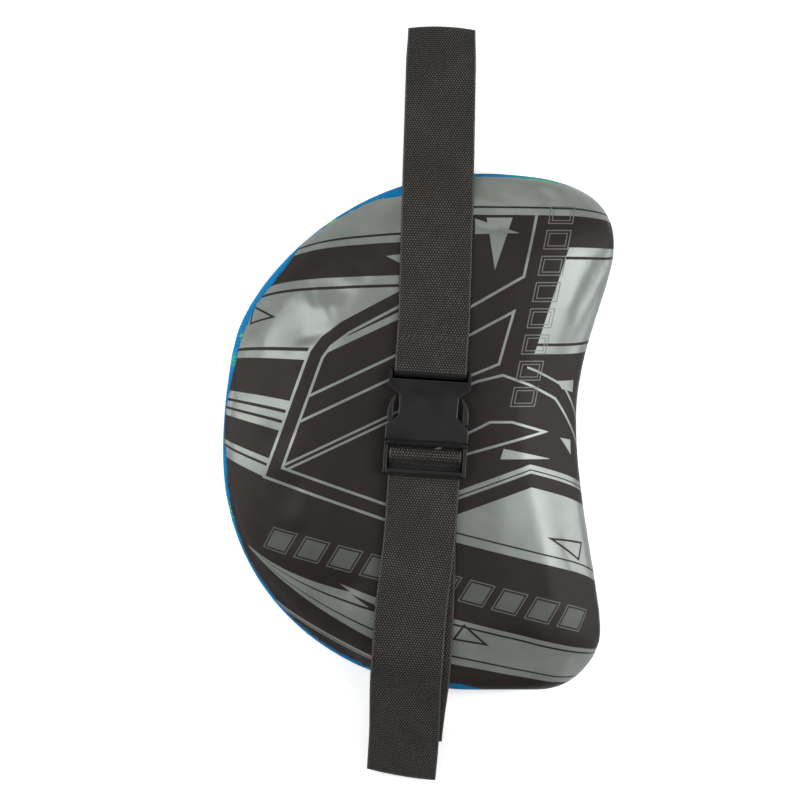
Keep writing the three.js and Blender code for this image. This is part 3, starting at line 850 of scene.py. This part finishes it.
# %% The coated cloth
# Vinyl-coated polyester, calendered smooth, with a dull gloss over the dark ink.
# The silver ink carries fine aluminium flake, so it is partly metallic.
face_look, tree = new_material("screen_printed_coated_polyester")
uv = add(tree, "UVMap", uv_map="print").outputs[0]
axes = add(tree, "SeparateXYZ", {0: uv})
x, y = axes.outputs[0], axes.outputs[1]
place = add(tree, "CombineXYZ", {0: x, 1: y, 2: 1.0}).outputs[0]
tone = draw_print(tree, place, x, y)
mottle = noise(tree, uv, 0.045, 3.0, Roughness=0.55)
flake = noise(tree, uv, 2.2, 2.0)
silver = ramp(tree, mottle, [(0.3, colour("#757a76")), (0.7, colour("#7f8480"))])
dark = ramp(tree, mottle, [(0.3, colour("#1a1412")), (0.7, colour("#1f1917"))])
ink = mix_colours(tree, tone, dark, silver)
ink = scaled(tree, ink, remap(tree, flake, 0.3, 0.7, 0.94, 1.06))
metal = maths(tree, "MULTIPLY", tone, 0.42)
rough = remap(tree, tone, 0.0, 1.0, 0.5, 0.32)
rough = maths(tree, "MULTIPLY_ADD", mottle, 0.08, rough)
cloth_grain = noise(tree, uv, 0.9, 2.0, Roughness=0.5)
pull = noise(tree, uv, 0.03, 2.0, Distortion=0.4)
fine = bump(tree, cloth_grain, 0.12, 0.0002)
wide = bump(tree, pull, 0.14, 0.003, Normal=fine)
principled(tree, {
    "Base Color": ink, "Metallic": metal, "Roughness": rough, "IOR": 1.45,
    "Specular IOR Level": 0.26, "Normal": wide,
})
dress(cover_face, face_look)
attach(cover_face, "shield")
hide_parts("face_cover")
print("print drawn with", len(tree.nodes), "nodes")

# %% [markdown]
# ## The blue back
# The back is a knitted polyester in bright blue with a sublimated pattern of green
# streaks. Knit is matt, and its pattern has no sharp edges.

# %% The knit
back_look, tree = new_material("sublimated_polyester_knit")
uv = add(tree, "UVMap", uv_map="print").outputs[0]
tilted = {"Rotation": (0, 0, 0.5), "Scale": (0.05, 0.34, 1.0)}
turned = add(tree, "Mapping", {"Vector": uv, **tilted}).outputs[0]
streaks = noise(tree, turned, 1.0, 4.0, Roughness=0.65, Distortion=0.6)
patches = noise(tree, uv, 0.028, 1.0)
level = maths(tree, "ADD", streaks, remap(tree, patches, 0.5, 0.62, -0.3, 0.06))
hue = ramp(tree, level, [
    (0.40, colour("#0070a6")), (0.53, colour("#007ab4")), (0.56, colour("#1c947c")),
    (0.6, colour("#4cb03c")), (0.72, colour("#78c04c")),
])
wave = {"Vector": uv, "Distortion": 1.0, "Detail": 1.0}
loops = add(tree, "TexWave", {**wave, "Scale": 0.42}, bands_direction="X")
rows = add(tree, "TexWave", {**wave, "Scale": 0.55}, bands_direction="Y")
knit = maths(tree, "MULTIPLY", loops.outputs[1], rows.outputs[1])
principled(tree, {
    "Base Color": hue, "Roughness": 0.7, "IOR": 1.46, "Specular IOR Level": 0.12,
    "Normal": bump(tree, knit, 0.35, 0.0003),
})
dress(cover_back, back_look)
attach(cover_back, "shield")
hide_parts("back_cover")

# %% [markdown]
# ## The foam inside
# Two layers of closed-cell foam fill the covers: a firm one behind and a soft one in
# front. They are the cover's own shape moved inwards and sliced, so they always fit.


# %% Foam layers
FOAM_INSET, FOAM_SPLIT = 2.6, 26.0


def foam_layer(name, keep_upper, look):
    bm = bmesh_of(pad.data)
    bm.normal_update()
    for vert, normal in [(v, v.normal.copy()) for v in bm.verts]:
        vert.co -= normal * FOAM_INSET * MM
    keep_side(bm, (0, 0, (FOAM_SPLIT + (0.15 if keep_upper else -0.15)) * MM), keep_upper)
    bmesh.ops.holes_fill(bm, edges=[e for e in bm.edges if e.is_boundary], sides=0)
    bmesh.ops.recalc_face_normals(bm, faces=bm.faces)
    made = from_bmesh(name, bm)
    dress(made, look)
    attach(made, "shield")
    report(made)
    return made


def foam_material(name, code, cell):
    look, tree = new_material(name)
    where = object_place(tree)
    cells = add(tree, "TexVoronoi", {"Vector": where, "Scale": 1 / (cell * MM)}).outputs["Distance"]
    walls = tuple(c * 0.8 for c in colour(code)[:3]) + (1,)
    shade = ramp(tree, cells, [(0.0, walls), (0.6, colour(code))])
    pores = bump(tree, cells, 0.5, 0.0002)
    principled(tree, {"Base Color": shade, "Roughness": 0.85, "Normal": pores})
    return look


soft_look = foam_material("soft_closed_cell_foam", "#d9d6ca", 1.2)
foam_soft = foam_layer("foam_soft_layer", True, soft_look)
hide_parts("foam_core_soft")
firm_look = foam_material("firm_closed_cell_foam", "#9ca0a0", 0.9)
foam_firm = foam_layer("foam_firm_layer", False, firm_look)
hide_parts("foam_core_firm")
bpy.data.objects.remove(pad)

# %% [markdown]
# ## The webbing
# The belt is 2 inch polypropylene webbing: two smooth faces of plain weave, with rows
# of small staggered picks and a firm selvedge. A flat grid is bent along the belt's
# course, row by row, then gets its thickness and slightly rounded edges. Its map keeps
# the flat strip's own millimetres, so the weave follows every bend.


# %% Courses, as [distance along the layout, height] points
LEAST_STEP = 0.25


def line(start, end, steps):
    start, run = np.array(start), np.array(end) - np.array(start)
    return [tuple(start + run * i / steps) for i in range(steps + 1)]


def level_change(start, end, steps=10):
    reach = (end[0] - start[0]) / 2
    knots = [start, (start[0] + reach, start[1]), (end[0] - reach, end[1]), end]
    knots = [Vector((*knot, 0)) for knot in knots]
    return [(p.x, p.y) for p in geometry.interpolate_bezier(*knots, steps + 1)]


def arc(centre, radii, start, end, steps):
    turns = np.linspace(start, end, steps + 1)
    (x, y), (wide, high) = centre, radii
    return [(x + wide * math.cos(t), y + high * math.sin(t)) for t in turns]


def without_repeats(points):
    kept = [points[0]]
    for p in points[1:]:
        if math.dist(p, kept[-1]) > LEAST_STEP:
            kept.append(p)
    return kept


FLOOR_LAYER, CHANNEL_LAYER = 0.3 + BELT_THICKNESS / 2, 1.5 + BELT_THICKNESS / 2


def end_course(edge, overhang, fold_radius, off):
    """Over the pad's rounded edge, straight down to the fold, and around it."""
    centre = (edge - FACE_ROUND, WIDEST)
    radii = (FACE_ROUND + off, PAD_THICKNESS - WIDEST + off)
    fold = (edge + overhang - fold_radius - BELT_THICKNESS / 2, FLOOR_LAYER + fold_radius)

    def normal(turn):
        return Vector((radii[1] * math.cos(turn), radii[0] * math.sin(turn))).normalized()

    low, high = 0.1, math.pi / 2
    for _ in range(40):
        middle = (low + high) / 2
        x = centre[0] + radii[0] * math.cos(middle)
        y = centre[1] + radii[1] * math.sin(middle)
        gap = Vector((x - fold[0], y - fold[1])).dot(normal(middle)) - fold_radius
        low, high = (low, middle) if gap > 0 else (middle, high)
    over = arc(centre, radii, math.pi / 2, low, 14)
    n = normal(low)
    turned = arc(fold, (fold_radius, fold_radius), math.atan2(n.y, n.x), -math.pi / 2, 24)
    return over, line(over[-1], turned[0], 30), turned


top_over, top_free, top_turned = end_course(
    PAD_TOP, TOP_OVERHANG, 4.6, LOWER_LAYER - PAD_THICKNESS
)
low_over, low_free, low_turned = end_course(
    PAD_BOTTOM, LOW_OVERHANG, 5.2, UPPER_LAYER - PAD_THICKNESS
)


def mirrored(points):
    return [(-y, z) for y, z in points]


WRAP, BAR_RADIUS = 0.3 + BELT_THICKNESS / 2, 1.9
BAR_Y = BUCKLE_Y + 36.9 * math.cos(TILT)
BAR_Z = LOWER_LAYER + BELT_THICKNESS / 2 + 0.3 + BAR_RADIUS
STITCHED_END = BAR_Y + 30
TAIL_END = PAD_BOTTOM + TAIL_OVERHANG
BOTTOM_CUT = PAD_BOTTOM + LOW_OVERHANG - 20


# %% Weave and strips
PICK_WIDTH, PICK_LENGTH = 1.95, 1.7


def webbing_material(name, ground, pick, selvedge=True):
    """Polypropylene webbing: matt yarn picks with a faint sheen on each."""
    look, tree = new_material(name)
    uv = add(tree, "UVMap", uv_map="strip").outputs[0]
    axes = add(tree, "SeparateXYZ", {0: uv})
    column = maths(tree, "MULTIPLY", axes.outputs[0], 2 * math.pi / PICK_WIDTH)
    row = maths(tree, "MULTIPLY", axes.outputs[1], math.pi / PICK_LENGTH)
    row = maths(tree, "MULTIPLY_ADD", noise(tree, uv, 0.35, 2.0), 1.1, row)
    across = maths(tree, "COSINE", column)
    along = maths(tree, "COSINE", row)
    picks = maths(tree, "MULTIPLY", across, along)
    wide = maths(tree, "MULTIPLY", across, maths(tree, "SIGN", along))
    wide = remap(tree, wide, -0.1, 0.6)
    high = remap(tree, maths(tree, "ABSOLUTE", along), 0.5, 0.9)
    dot = maths(tree, "MULTIPLY", wide, high)
    dot = maths(tree, "MULTIPLY", dot, noise(tree, uv, 1.6, 3.0))
    tone = ramp(tree, dot, [(0.14, colour(ground)), (0.5, colour(pick))])
    # Painted light and shade: broad lighter and darker patches stand in for the soft shading of
    # slight wrinkles in the strap.
    wrinkle_shading = remap(tree, noise(tree, uv, 0.03, 2.0), 0.35, 0.65, 0.8, 1.15)
    tone = scaled(tree, tone, wrinkle_shading)
    if selvedge:
        out = maths(tree, "ABSOLUTE", axes.outputs[0])
        border = stroke(tree, out, BELT_WIDTH / 2 - 1.1, BELT_WIDTH / 2 - 0.3)
        tone = mix_colours(tree, maths(tree, "MULTIPLY", border, 0.5), tone, colour(pick))
    # Painted shade: the yarn inside the buckle's slots is painted near black, where shadow falls.
    painted_shade = add(tree, "Attribute", attribute_name="painted_shade").outputs["Fac"]
    tone = mix_colours(tree, painted_shade, tone, colour("#040303"))
    principled(tree, {
        "Base Color": tone, "Roughness": 0.68, "IOR": 1.49, "Sheen Weight": 0.02,
        "Sheen Roughness": 0.5, "Specular IOR Level": 0.3,
        "Normal": bump(tree, picks, 0.7, 0.0004),
    })
    return look


webbing_look = webbing_material("woven_polypropylene_webbing", "#0c0a09", "#5e5952")


def strip(
    name, course, place, width=BELT_WIDTH, thickness=BELT_THICKNESS, look=webbing_look,
    across=12, painted_shade=None,
):
    """A flat grid bent along a course.

    place(across, points) gives layout points, and the painted shade function, given (y, z), how
    near black the yarn is painted where shadow falls.
    """
    steps = len(course) - 1
    bm = bmesh.new()
    bmesh.ops.create_grid(bm, x_segments=across, y_segments=steps, size=0.5)
    flat = np.array([v.co for v in bm.verts])
    rank = np.rint((flat[:, 1] + 0.5) * steps).astype(int)
    s = flat[:, 0] * width
    points = np.array(course, float)
    steps_along = np.linalg.norm(np.diff(points, axis=0), axis=1)
    arc_length = np.concatenate([[0], np.cumsum(steps_along)])
    layer = bm.loops.layers.uv.new("strip")
    for face in bm.faces:
        for loop in face.loops:
            i = loop.vert.index
            loop[layer].uv = (s[i], arc_length[rank[i]])
    placed = to_row(place(s, points[rank]))
    dark = bm.verts.layers.float.new("painted_shade")
    for vert, co, point in zip(bm.verts, placed, points[rank]):
        vert.co = co
        vert[dark] = painted_shade(*point) if painted_shade else 0.0
    bm.normal_update()
    made = from_bmesh(name, bm)
    dress(made, look)
    made.data.shade_smooth()
    thick = made.modifiers.new("thickness", "SOLIDIFY")
    thick.thickness, thick.offset = thickness * MM, 0.0
    round_edge = made.modifiers.new("edges", "BEVEL")
    round_edge.width, round_edge.segments = min(0.45, thickness / 3) * MM, 2
    round_edge.limit_method, round_edge.angle_limit = "ANGLE", math.radians(50)
    settle(made)
    report(made)
    return made


def beside_middle(y, side):
    """Points beside the belt's middle, square to its heading."""
    heading = belt_heading(y)
    return belt_shift(y) + side * np.cos(heading), y - side * np.sin(heading)


def on_long(s, points):
    """The upper fold bows, and draws in a little."""
    y, z = points[:, 0], points[:, 1]
    bow = 0.25 * np.sin(y * 0.045 + 0.8) * smooth(np.abs(y), 150, 230) * (s / 25) ** 2
    folded = smooth(y, PAD_TOP + 78, PAD_TOP + 106)
    back = TOP_BOW * folded * (2 * s / BELT_WIDTH) ** 2
    x, y = beside_middle(y, s * (1 - 0.03 * folded))
    return np.stack([x, y - back, z + bow], 1)


# %% The long run
TOP_BOW, LOW_BOW = 1.9, 1.1


def long_run():
    """From the sewn fold at the socket, up the face, under the pad, to the lower fold."""
    fold = line((STITCHED_END, LOWER_LAYER), (BAR_Y + 1, LOWER_LAYER), 10)
    bend = BAR_RADIUS + WRAP
    around = arc((BAR_Y, BAR_Z), (bend, bend), -math.pi / 2, -1.5 * math.pi, 20)
    over_bar = level_change((BAR_Y + 0.3, BAR_Z + bend), (BAR_Y + 15, UPPER_LAYER))
    settle_down = level_change((STITCHED_END + 2, UPPER_LAYER), (STITCHED_END + 20, LOWER_LAYER))
    face = line((STITCHED_END + 20, LOWER_LAYER), top_over[0], 16)
    under = [
        *level_change((PAD_TOP + 20, FLOOR_LAYER), (PAD_TOP - 5, CHANNEL_LAYER)),
        *line((PAD_TOP - 8, CHANNEL_LAYER), (8 - PAD_BOTTOM, CHANNEL_LAYER), 60),
        *level_change((5 - PAD_BOTTOM, CHANNEL_LAYER), (-PAD_BOTTOM - 20, FLOOR_LAYER)),
        *line((-PAD_BOTTOM - 22, FLOOR_LAYER), (-BOTTOM_CUT, FLOOR_LAYER), 5),
    ]
    between = line(over_bar[-1], settle_down[0], 8)
    below = line(top_turned[-1], under[0], 24)
    return without_repeats([
        *fold, *around, *over_bar, *between, *settle_down,
        *face, *top_over, *top_free, *top_turned, *below, *under,
    ])


def socket_slot_shade(y, z):
    """Painted shade: the webbing that turns around the socket's bar is painted near black, where
    shadow falls.
    """
    return float(smooth(BAR_Y + 0.4 - y, 0, 0.8)) * (z > LOWER_LAYER)


belt_long = strip("belt_long_run", long_run(), on_long, painted_shade=socket_slot_shade)
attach(belt_long, "shield")
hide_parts("belt_socket_fold", "belt_front_upper", "belt_fold_top", "belt_back_run")


# %% The adjustable run
PLUG_BAR, PLUG_BAR_HALF, PLUG_BAR_ROUND, PLUG_BAR_TOP = -21.4, 2.5, 1.3, 62.8 + 0.4 + 2.6


def lower_course():
    flat = line((30.0 * math.cos(TILT) - BUCKLE_Y, UPPER_LAYER), low_over[0], 40)
    return without_repeats([*flat, *low_over, *low_free, *low_turned])


def adjustable_run():
    """The tail under the run, up around the plug's centre bar and down the front."""
    front = lower_course()
    whole = np.array([(24.85 * math.cos(TILT) - BUCKLE_Y, UPPER_LAYER), *front])
    step = np.gradient(whole, axis=0)
    step /= np.linalg.norm(step, axis=1)[:, None]
    under = whole + np.stack([step[:, 1], -step[:, 0]], 1) * (UPPER_LAYER - LOWER_LAYER)
    ends = np.argmax(under[:, 0] > TAIL_END)
    under = [tuple(p) for p in under[:ends]]
    far = PLUG_BAR + PLUG_BAR_HALF + WRAP
    turn = [
        *arc((far - 2, LOWER_LAYER + 2), (2, 2), -math.pi / 2, 0, 8),
        *arc(
            (PLUG_BAR, PLUG_BAR_TOP - PLUG_BAR_ROUND),
            (PLUG_BAR_HALF + WRAP, PLUG_BAR_ROUND + WRAP), 0, math.pi / 2, 10,
        ),
        *level_change((-22.5, PLUG_BAR_TOP + WRAP), (-27.2, UPPER_LAYER), 14),
        *line((-27.4, UPPER_LAYER), (-29.85, UPPER_LAYER), 3),
    ]
    turn = [(BUCKLE_Y + v * math.cos(TILT), z) for v, z in turn]
    fold_end = line(front[-1], (BOTTOM_CUT + 0.3, FLOOR_LAYER), 3)
    return without_repeats([*mirrored(under[::-1]), *turn, *mirrored(front), *mirrored(fold_end)])


def on_adjustable(s, points):
    """The tail drifts sideways under the run over it; the lower fold bows a little."""
    y, z = points[:, 0], points[:, 1]
    whole = [p for p in lower_course() if p[0] < BOTTOM_CUT]
    height = np.interp(-y, [p[0] for p in whole], [p[1] for p in whole])
    is_tail = (z < height - 1.2) & (y < -45) & (y > -BOTTOM_CUT + 2)
    side = s + np.where(is_tail, tail_drift(y), 0)
    back = LOW_BOW * smooth(-y, BOTTOM_CUT + 3, BOTTOM_CUT + 18) * (2 * s / BELT_WIDTH) ** 2
    x, y = beside_middle(y, side)
    return np.stack([x, y + back, z], 1)


def plug_slot_shade(y, z):
    """Painted shade: the part that dives under the plug's outer bar is painted near black too."""
    away = abs(y - BUCKLE_Y + 30.4 * math.cos(TILT))
    return float(1 - smooth(away, 2.6, 3.4)) * (z > LOWER_LAYER + 1)


belt_adjustable = strip("belt_adjustable_run", adjustable_run(), on_adjustable, painted_shade=plug_slot_shade)
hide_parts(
    "belt_front_lower", "belt_adjuster_turn", "belt_tail", "belt_fold_bottom"
)
blend_points = [to_row((belt_shift(y), y, UPPER_LAYER)) for y in (-195.0, -60.0)]
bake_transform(belt_adjustable)

# %% [markdown]
# ## Keepers and thread
# Two short straps of the same webbing are sewn across the channel in the back, and hold
# the belt to the pad. The fold behind the socket is closed by a row of slanting
# stitches in thick bonded thread.


# %% Keepers
def on_keeper(at):
    def place(s, points):
        heading = belt_heading(at)
        u, z = points[:, 0], points[:, 1]
        x = belt_shift(at) + u * math.cos(heading) + s * math.sin(heading)
        return np.stack([x, at - u * math.sin(heading) + s * math.cos(heading), z], 1)
    return place


keeper_look = webbing_material(
    "woven_polypropylene_keeper", "#0d0b0a", "#57524c", selvedge=False
)
KEEPER_WIDTH, KEEPER_THICKNESS, KEEPER_END = 26.0, 1.2, 15
for name, at in KEEPERS.items():
    reach = BELT_WIDTH / 2 + KEEPER_THICKNESS + KEEPER_END
    flat = line((-reach, KEEPER_THICKNESS / 2), (reach, KEEPER_THICKNESS / 2), 24)
    keeper = strip(
        name + "_strap", flat, on_keeper(at), width=KEEPER_WIDTH, thickness=KEEPER_THICKNESS,
        look=keeper_look, across=8,
    )
    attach(keeper, "shield")
    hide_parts(name)

# %% Thread
# Bonded nylon: twisted, slightly waxy. The twist shows as fine slanting ridges.
thread_look, tree = new_material("bonded_nylon_thread")
ply = {"Vector": object_place(tree), "Scale": 900.0, "Distortion": 0.5}
twist = add(tree, "TexWave", ply, bands_direction="DIAGONAL").outputs[1]
shade = ramp(tree, twist, [(0.0, colour("#26231f")), (1.0, colour("#46423c"))])
ridge = bump(tree, twist, 0.4, 0.0001)
principled(tree, {"Base Color": shade, "Roughness": 0.5, "Normal": ridge})


def stitches(name, places, length, radius):
    """One small rounded thread per stitch; places are (x, y, z, turn)."""
    bm = bmesh.new()
    for x, y, z, turn in places:
        spot = Matrix.Translation(Vector(to_row((x, y, z)))) @ Matrix.Rotation(turn, 4, "Z")
        spot = spot @ Matrix.Diagonal((length / 2 * MM, radius * MM, radius * 0.8 * MM, 1))
        spot = spot @ Matrix.Rotation(math.pi / 2, 4, "Y")
        bmesh.ops.create_uvsphere(bm, u_segments=10, v_segments=7, radius=1, matrix=spot)
    bmesh.ops.recalc_face_normals(bm, faces=bm.faces)
    made = from_bmesh(name, bm)
    dress(made, thread_look)
    made.data.shade_smooth()
    report(made)
    return made


STITCHES, STITCHED_WIDTH = 12, 42
row_top = UPPER_LAYER + BELT_THICKNESS / 2 + 0.12
spots = []
for i in range(STITCHES):
    side = -STITCHED_WIDTH / 2 + i * STITCHED_WIDTH / (STITCHES - 1)
    x, y = beside_middle(STITCHED_END - 6, side)
    spots.append((x, y, row_top, math.radians(50)))
closing_row = stitches("closing_stitches", spots, 3.6, 0.42)
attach(closing_row, "shield")
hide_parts("stitch_row")

# Each end of a keeper is sewn down with a box of stitches and a cross inside it.
STITCH_PITCH = 3.4
spots = []
for at, side, i, j in product(KEEPERS.values(), (-1, 1), range(4), range(7)):
    u = side * (BELT_WIDTH / 2 + 4.0 + i * STITCH_PITCH)
    v = (j - 3) * STITCH_PITCH
    diagonal = (i - 1.5) / 1.5 * 10
    on_edge = i in (0, 3) or j in (0, 6)
    if on_edge or min(abs(diagonal - v), abs(diagonal + v)) <= 3:
        turn = math.pi / 2 if i in (0, 3) and j not in (0, 6) else 0.0
        spots.append((belt_shift(at) + u, at + v, 0.32, turn))
box_stitches = stitches("keeper_box_stitches", spots, 2.8, 0.35)
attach(box_stitches, "shield")

# %% [markdown]
# ## The buckle
# A side-release buckle moulded in acetal. A mould can't make a knife edge, so each CAD
# solid is copied, its triangles are merged into clean faces, and nearly every sharp edge
# gets a small rounded bevel. The bevels catch the light, and on the flanks they carry a
# painted highlight, a pale colour that draws the buckle's outline.

# %% Moulded acetal
# Acetal is slightly waxy: a fine spark-eroded grain dulls it. The bright edges are a painted
# highlight, below.
buckle_look, tree = new_material("moulded_acetal")
where = object_place(tree)
grain = noise(tree, where, 2600.0, 2.0)
cloud = noise(tree, where, 60.0, 3.0)
shade = ramp(tree, cloud, [(0.35, colour("#100f0e")), (0.65, colour("#141312"))])
principled(tree, {
    "Base Color": shade, "Roughness": remap(tree, cloud, 0.3, 0.7, 0.3, 0.38), "IOR": 1.48,
    "Specular IOR Level": 0.36, "Normal": bump(tree, grain, 0.18, 0.00008),
})

# Painted highlight: a pale grey on the rounded edges of the flanks, standing in for the side lamps'
# glint.
edge_highlight_look, tree = new_material("acetal_painted_edge_highlight")
cloud = noise(tree, object_place(tree), 140.0, 3.0)
shade = ramp(tree, cloud, [(0.35, colour("#bab6ad")), (0.65, colour("#e4e0d6"))])
scuffs = bump(tree, cloud, 0.2, 0.0001)
principled(tree, {"Base Color": shade, "Roughness": 0.2, "IOR": 1.48, "Normal": scuffs})

MERGE, FLAT_ANGLE = 0.12, math.radians(1.5)
SHARP_ANGLE, THIN_CORNER = math.radians(25), math.radians(40)


def moulded(name, node, body, edge):
    """A copy of a CAD solid with clean faces and rounded edges, kept inside the solid.

    Two edges that meet at a thin angle can't both be rounded, so the shorter stays sharp.
    """
    bm = bmesh_of(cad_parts[node].data)
    bmesh.ops.remove_doubles(bm, verts=bm.verts, dist=MERGE * MM)
    bmesh.ops.dissolve_limit(bm, angle_limit=FLAT_ANGLE, verts=bm.verts, edges=bm.edges)
    solid = BVHTree.FromBMesh(bm)
    sharp = {e for e in bm.edges if len(e.link_faces) == 2 and e.calc_face_angle() > SHARP_ANGLE}
    for vert in bm.verts:
        for pair in combinations([e for e in vert.link_edges if e in sharp], 2):
            one, other = (e.other_vert(vert).co - vert.co for e in pair)
            if one.angle(other) < THIN_CORNER:
                sharp.discard(min(pair, key=lambda e: e.calc_length()))
    sharp = [e for e in bm.edges if e in sharp]
    rounded = bmesh.ops.bevel(
        bm, geom=sharp, offset=edge * MM, offset_type="OFFSET", segments=3, profile=0.5,
        affect="EDGES", clamp_overlap=False, material=-1,
    )["faces"]
    for vert in bm.verts:
        near, normal, _, _ = solid.find_nearest(vert.co)
        if (vert.co - near).dot(normal) > 0:
            vert.co = near
    bm.normal_update()
    for face in bm.faces:
        face.material_index = 0
    # Painted highlight: the pale material goes on the bevels that face sideways and up, towards the
    # side lamps.
    for face in rounded:
        if face.is_valid and abs(face.normal.x) > 0.25 and face.normal.z > 0.1:
            face.material_index = 1
    opened = sum(len(e.link_faces) != 2 for e in bm.edges)
    print(name, "volume", round(bm.calc_volume() / MM**3), "mm3, open edges", opened)
    made = from_bmesh(name, bm)
    dress(made, buckle_look, edge_highlight_look)
    made.data.shade_smooth()
    made.data.set_sharp_from_angle(angle=math.radians(40))
    flatten = made.modifiers.new("flat_faces", "WEIGHTED_NORMAL")
    flatten.keep_sharp = True
    settle(made)
    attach(made, body)
    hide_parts(node)
    report(made)


moulded("buckle_socket_shell", "buckle_socket", "shield", 0.8)
moulded("buckle_plug_frame", "buckle_plug", "plug", 0.6)
moulded("plug_arm_left_spring", "plug_arm_left", "arm_left", 0.8)
moulded("plug_arm_right_spring", "plug_arm_right", "arm_right", 0.8)
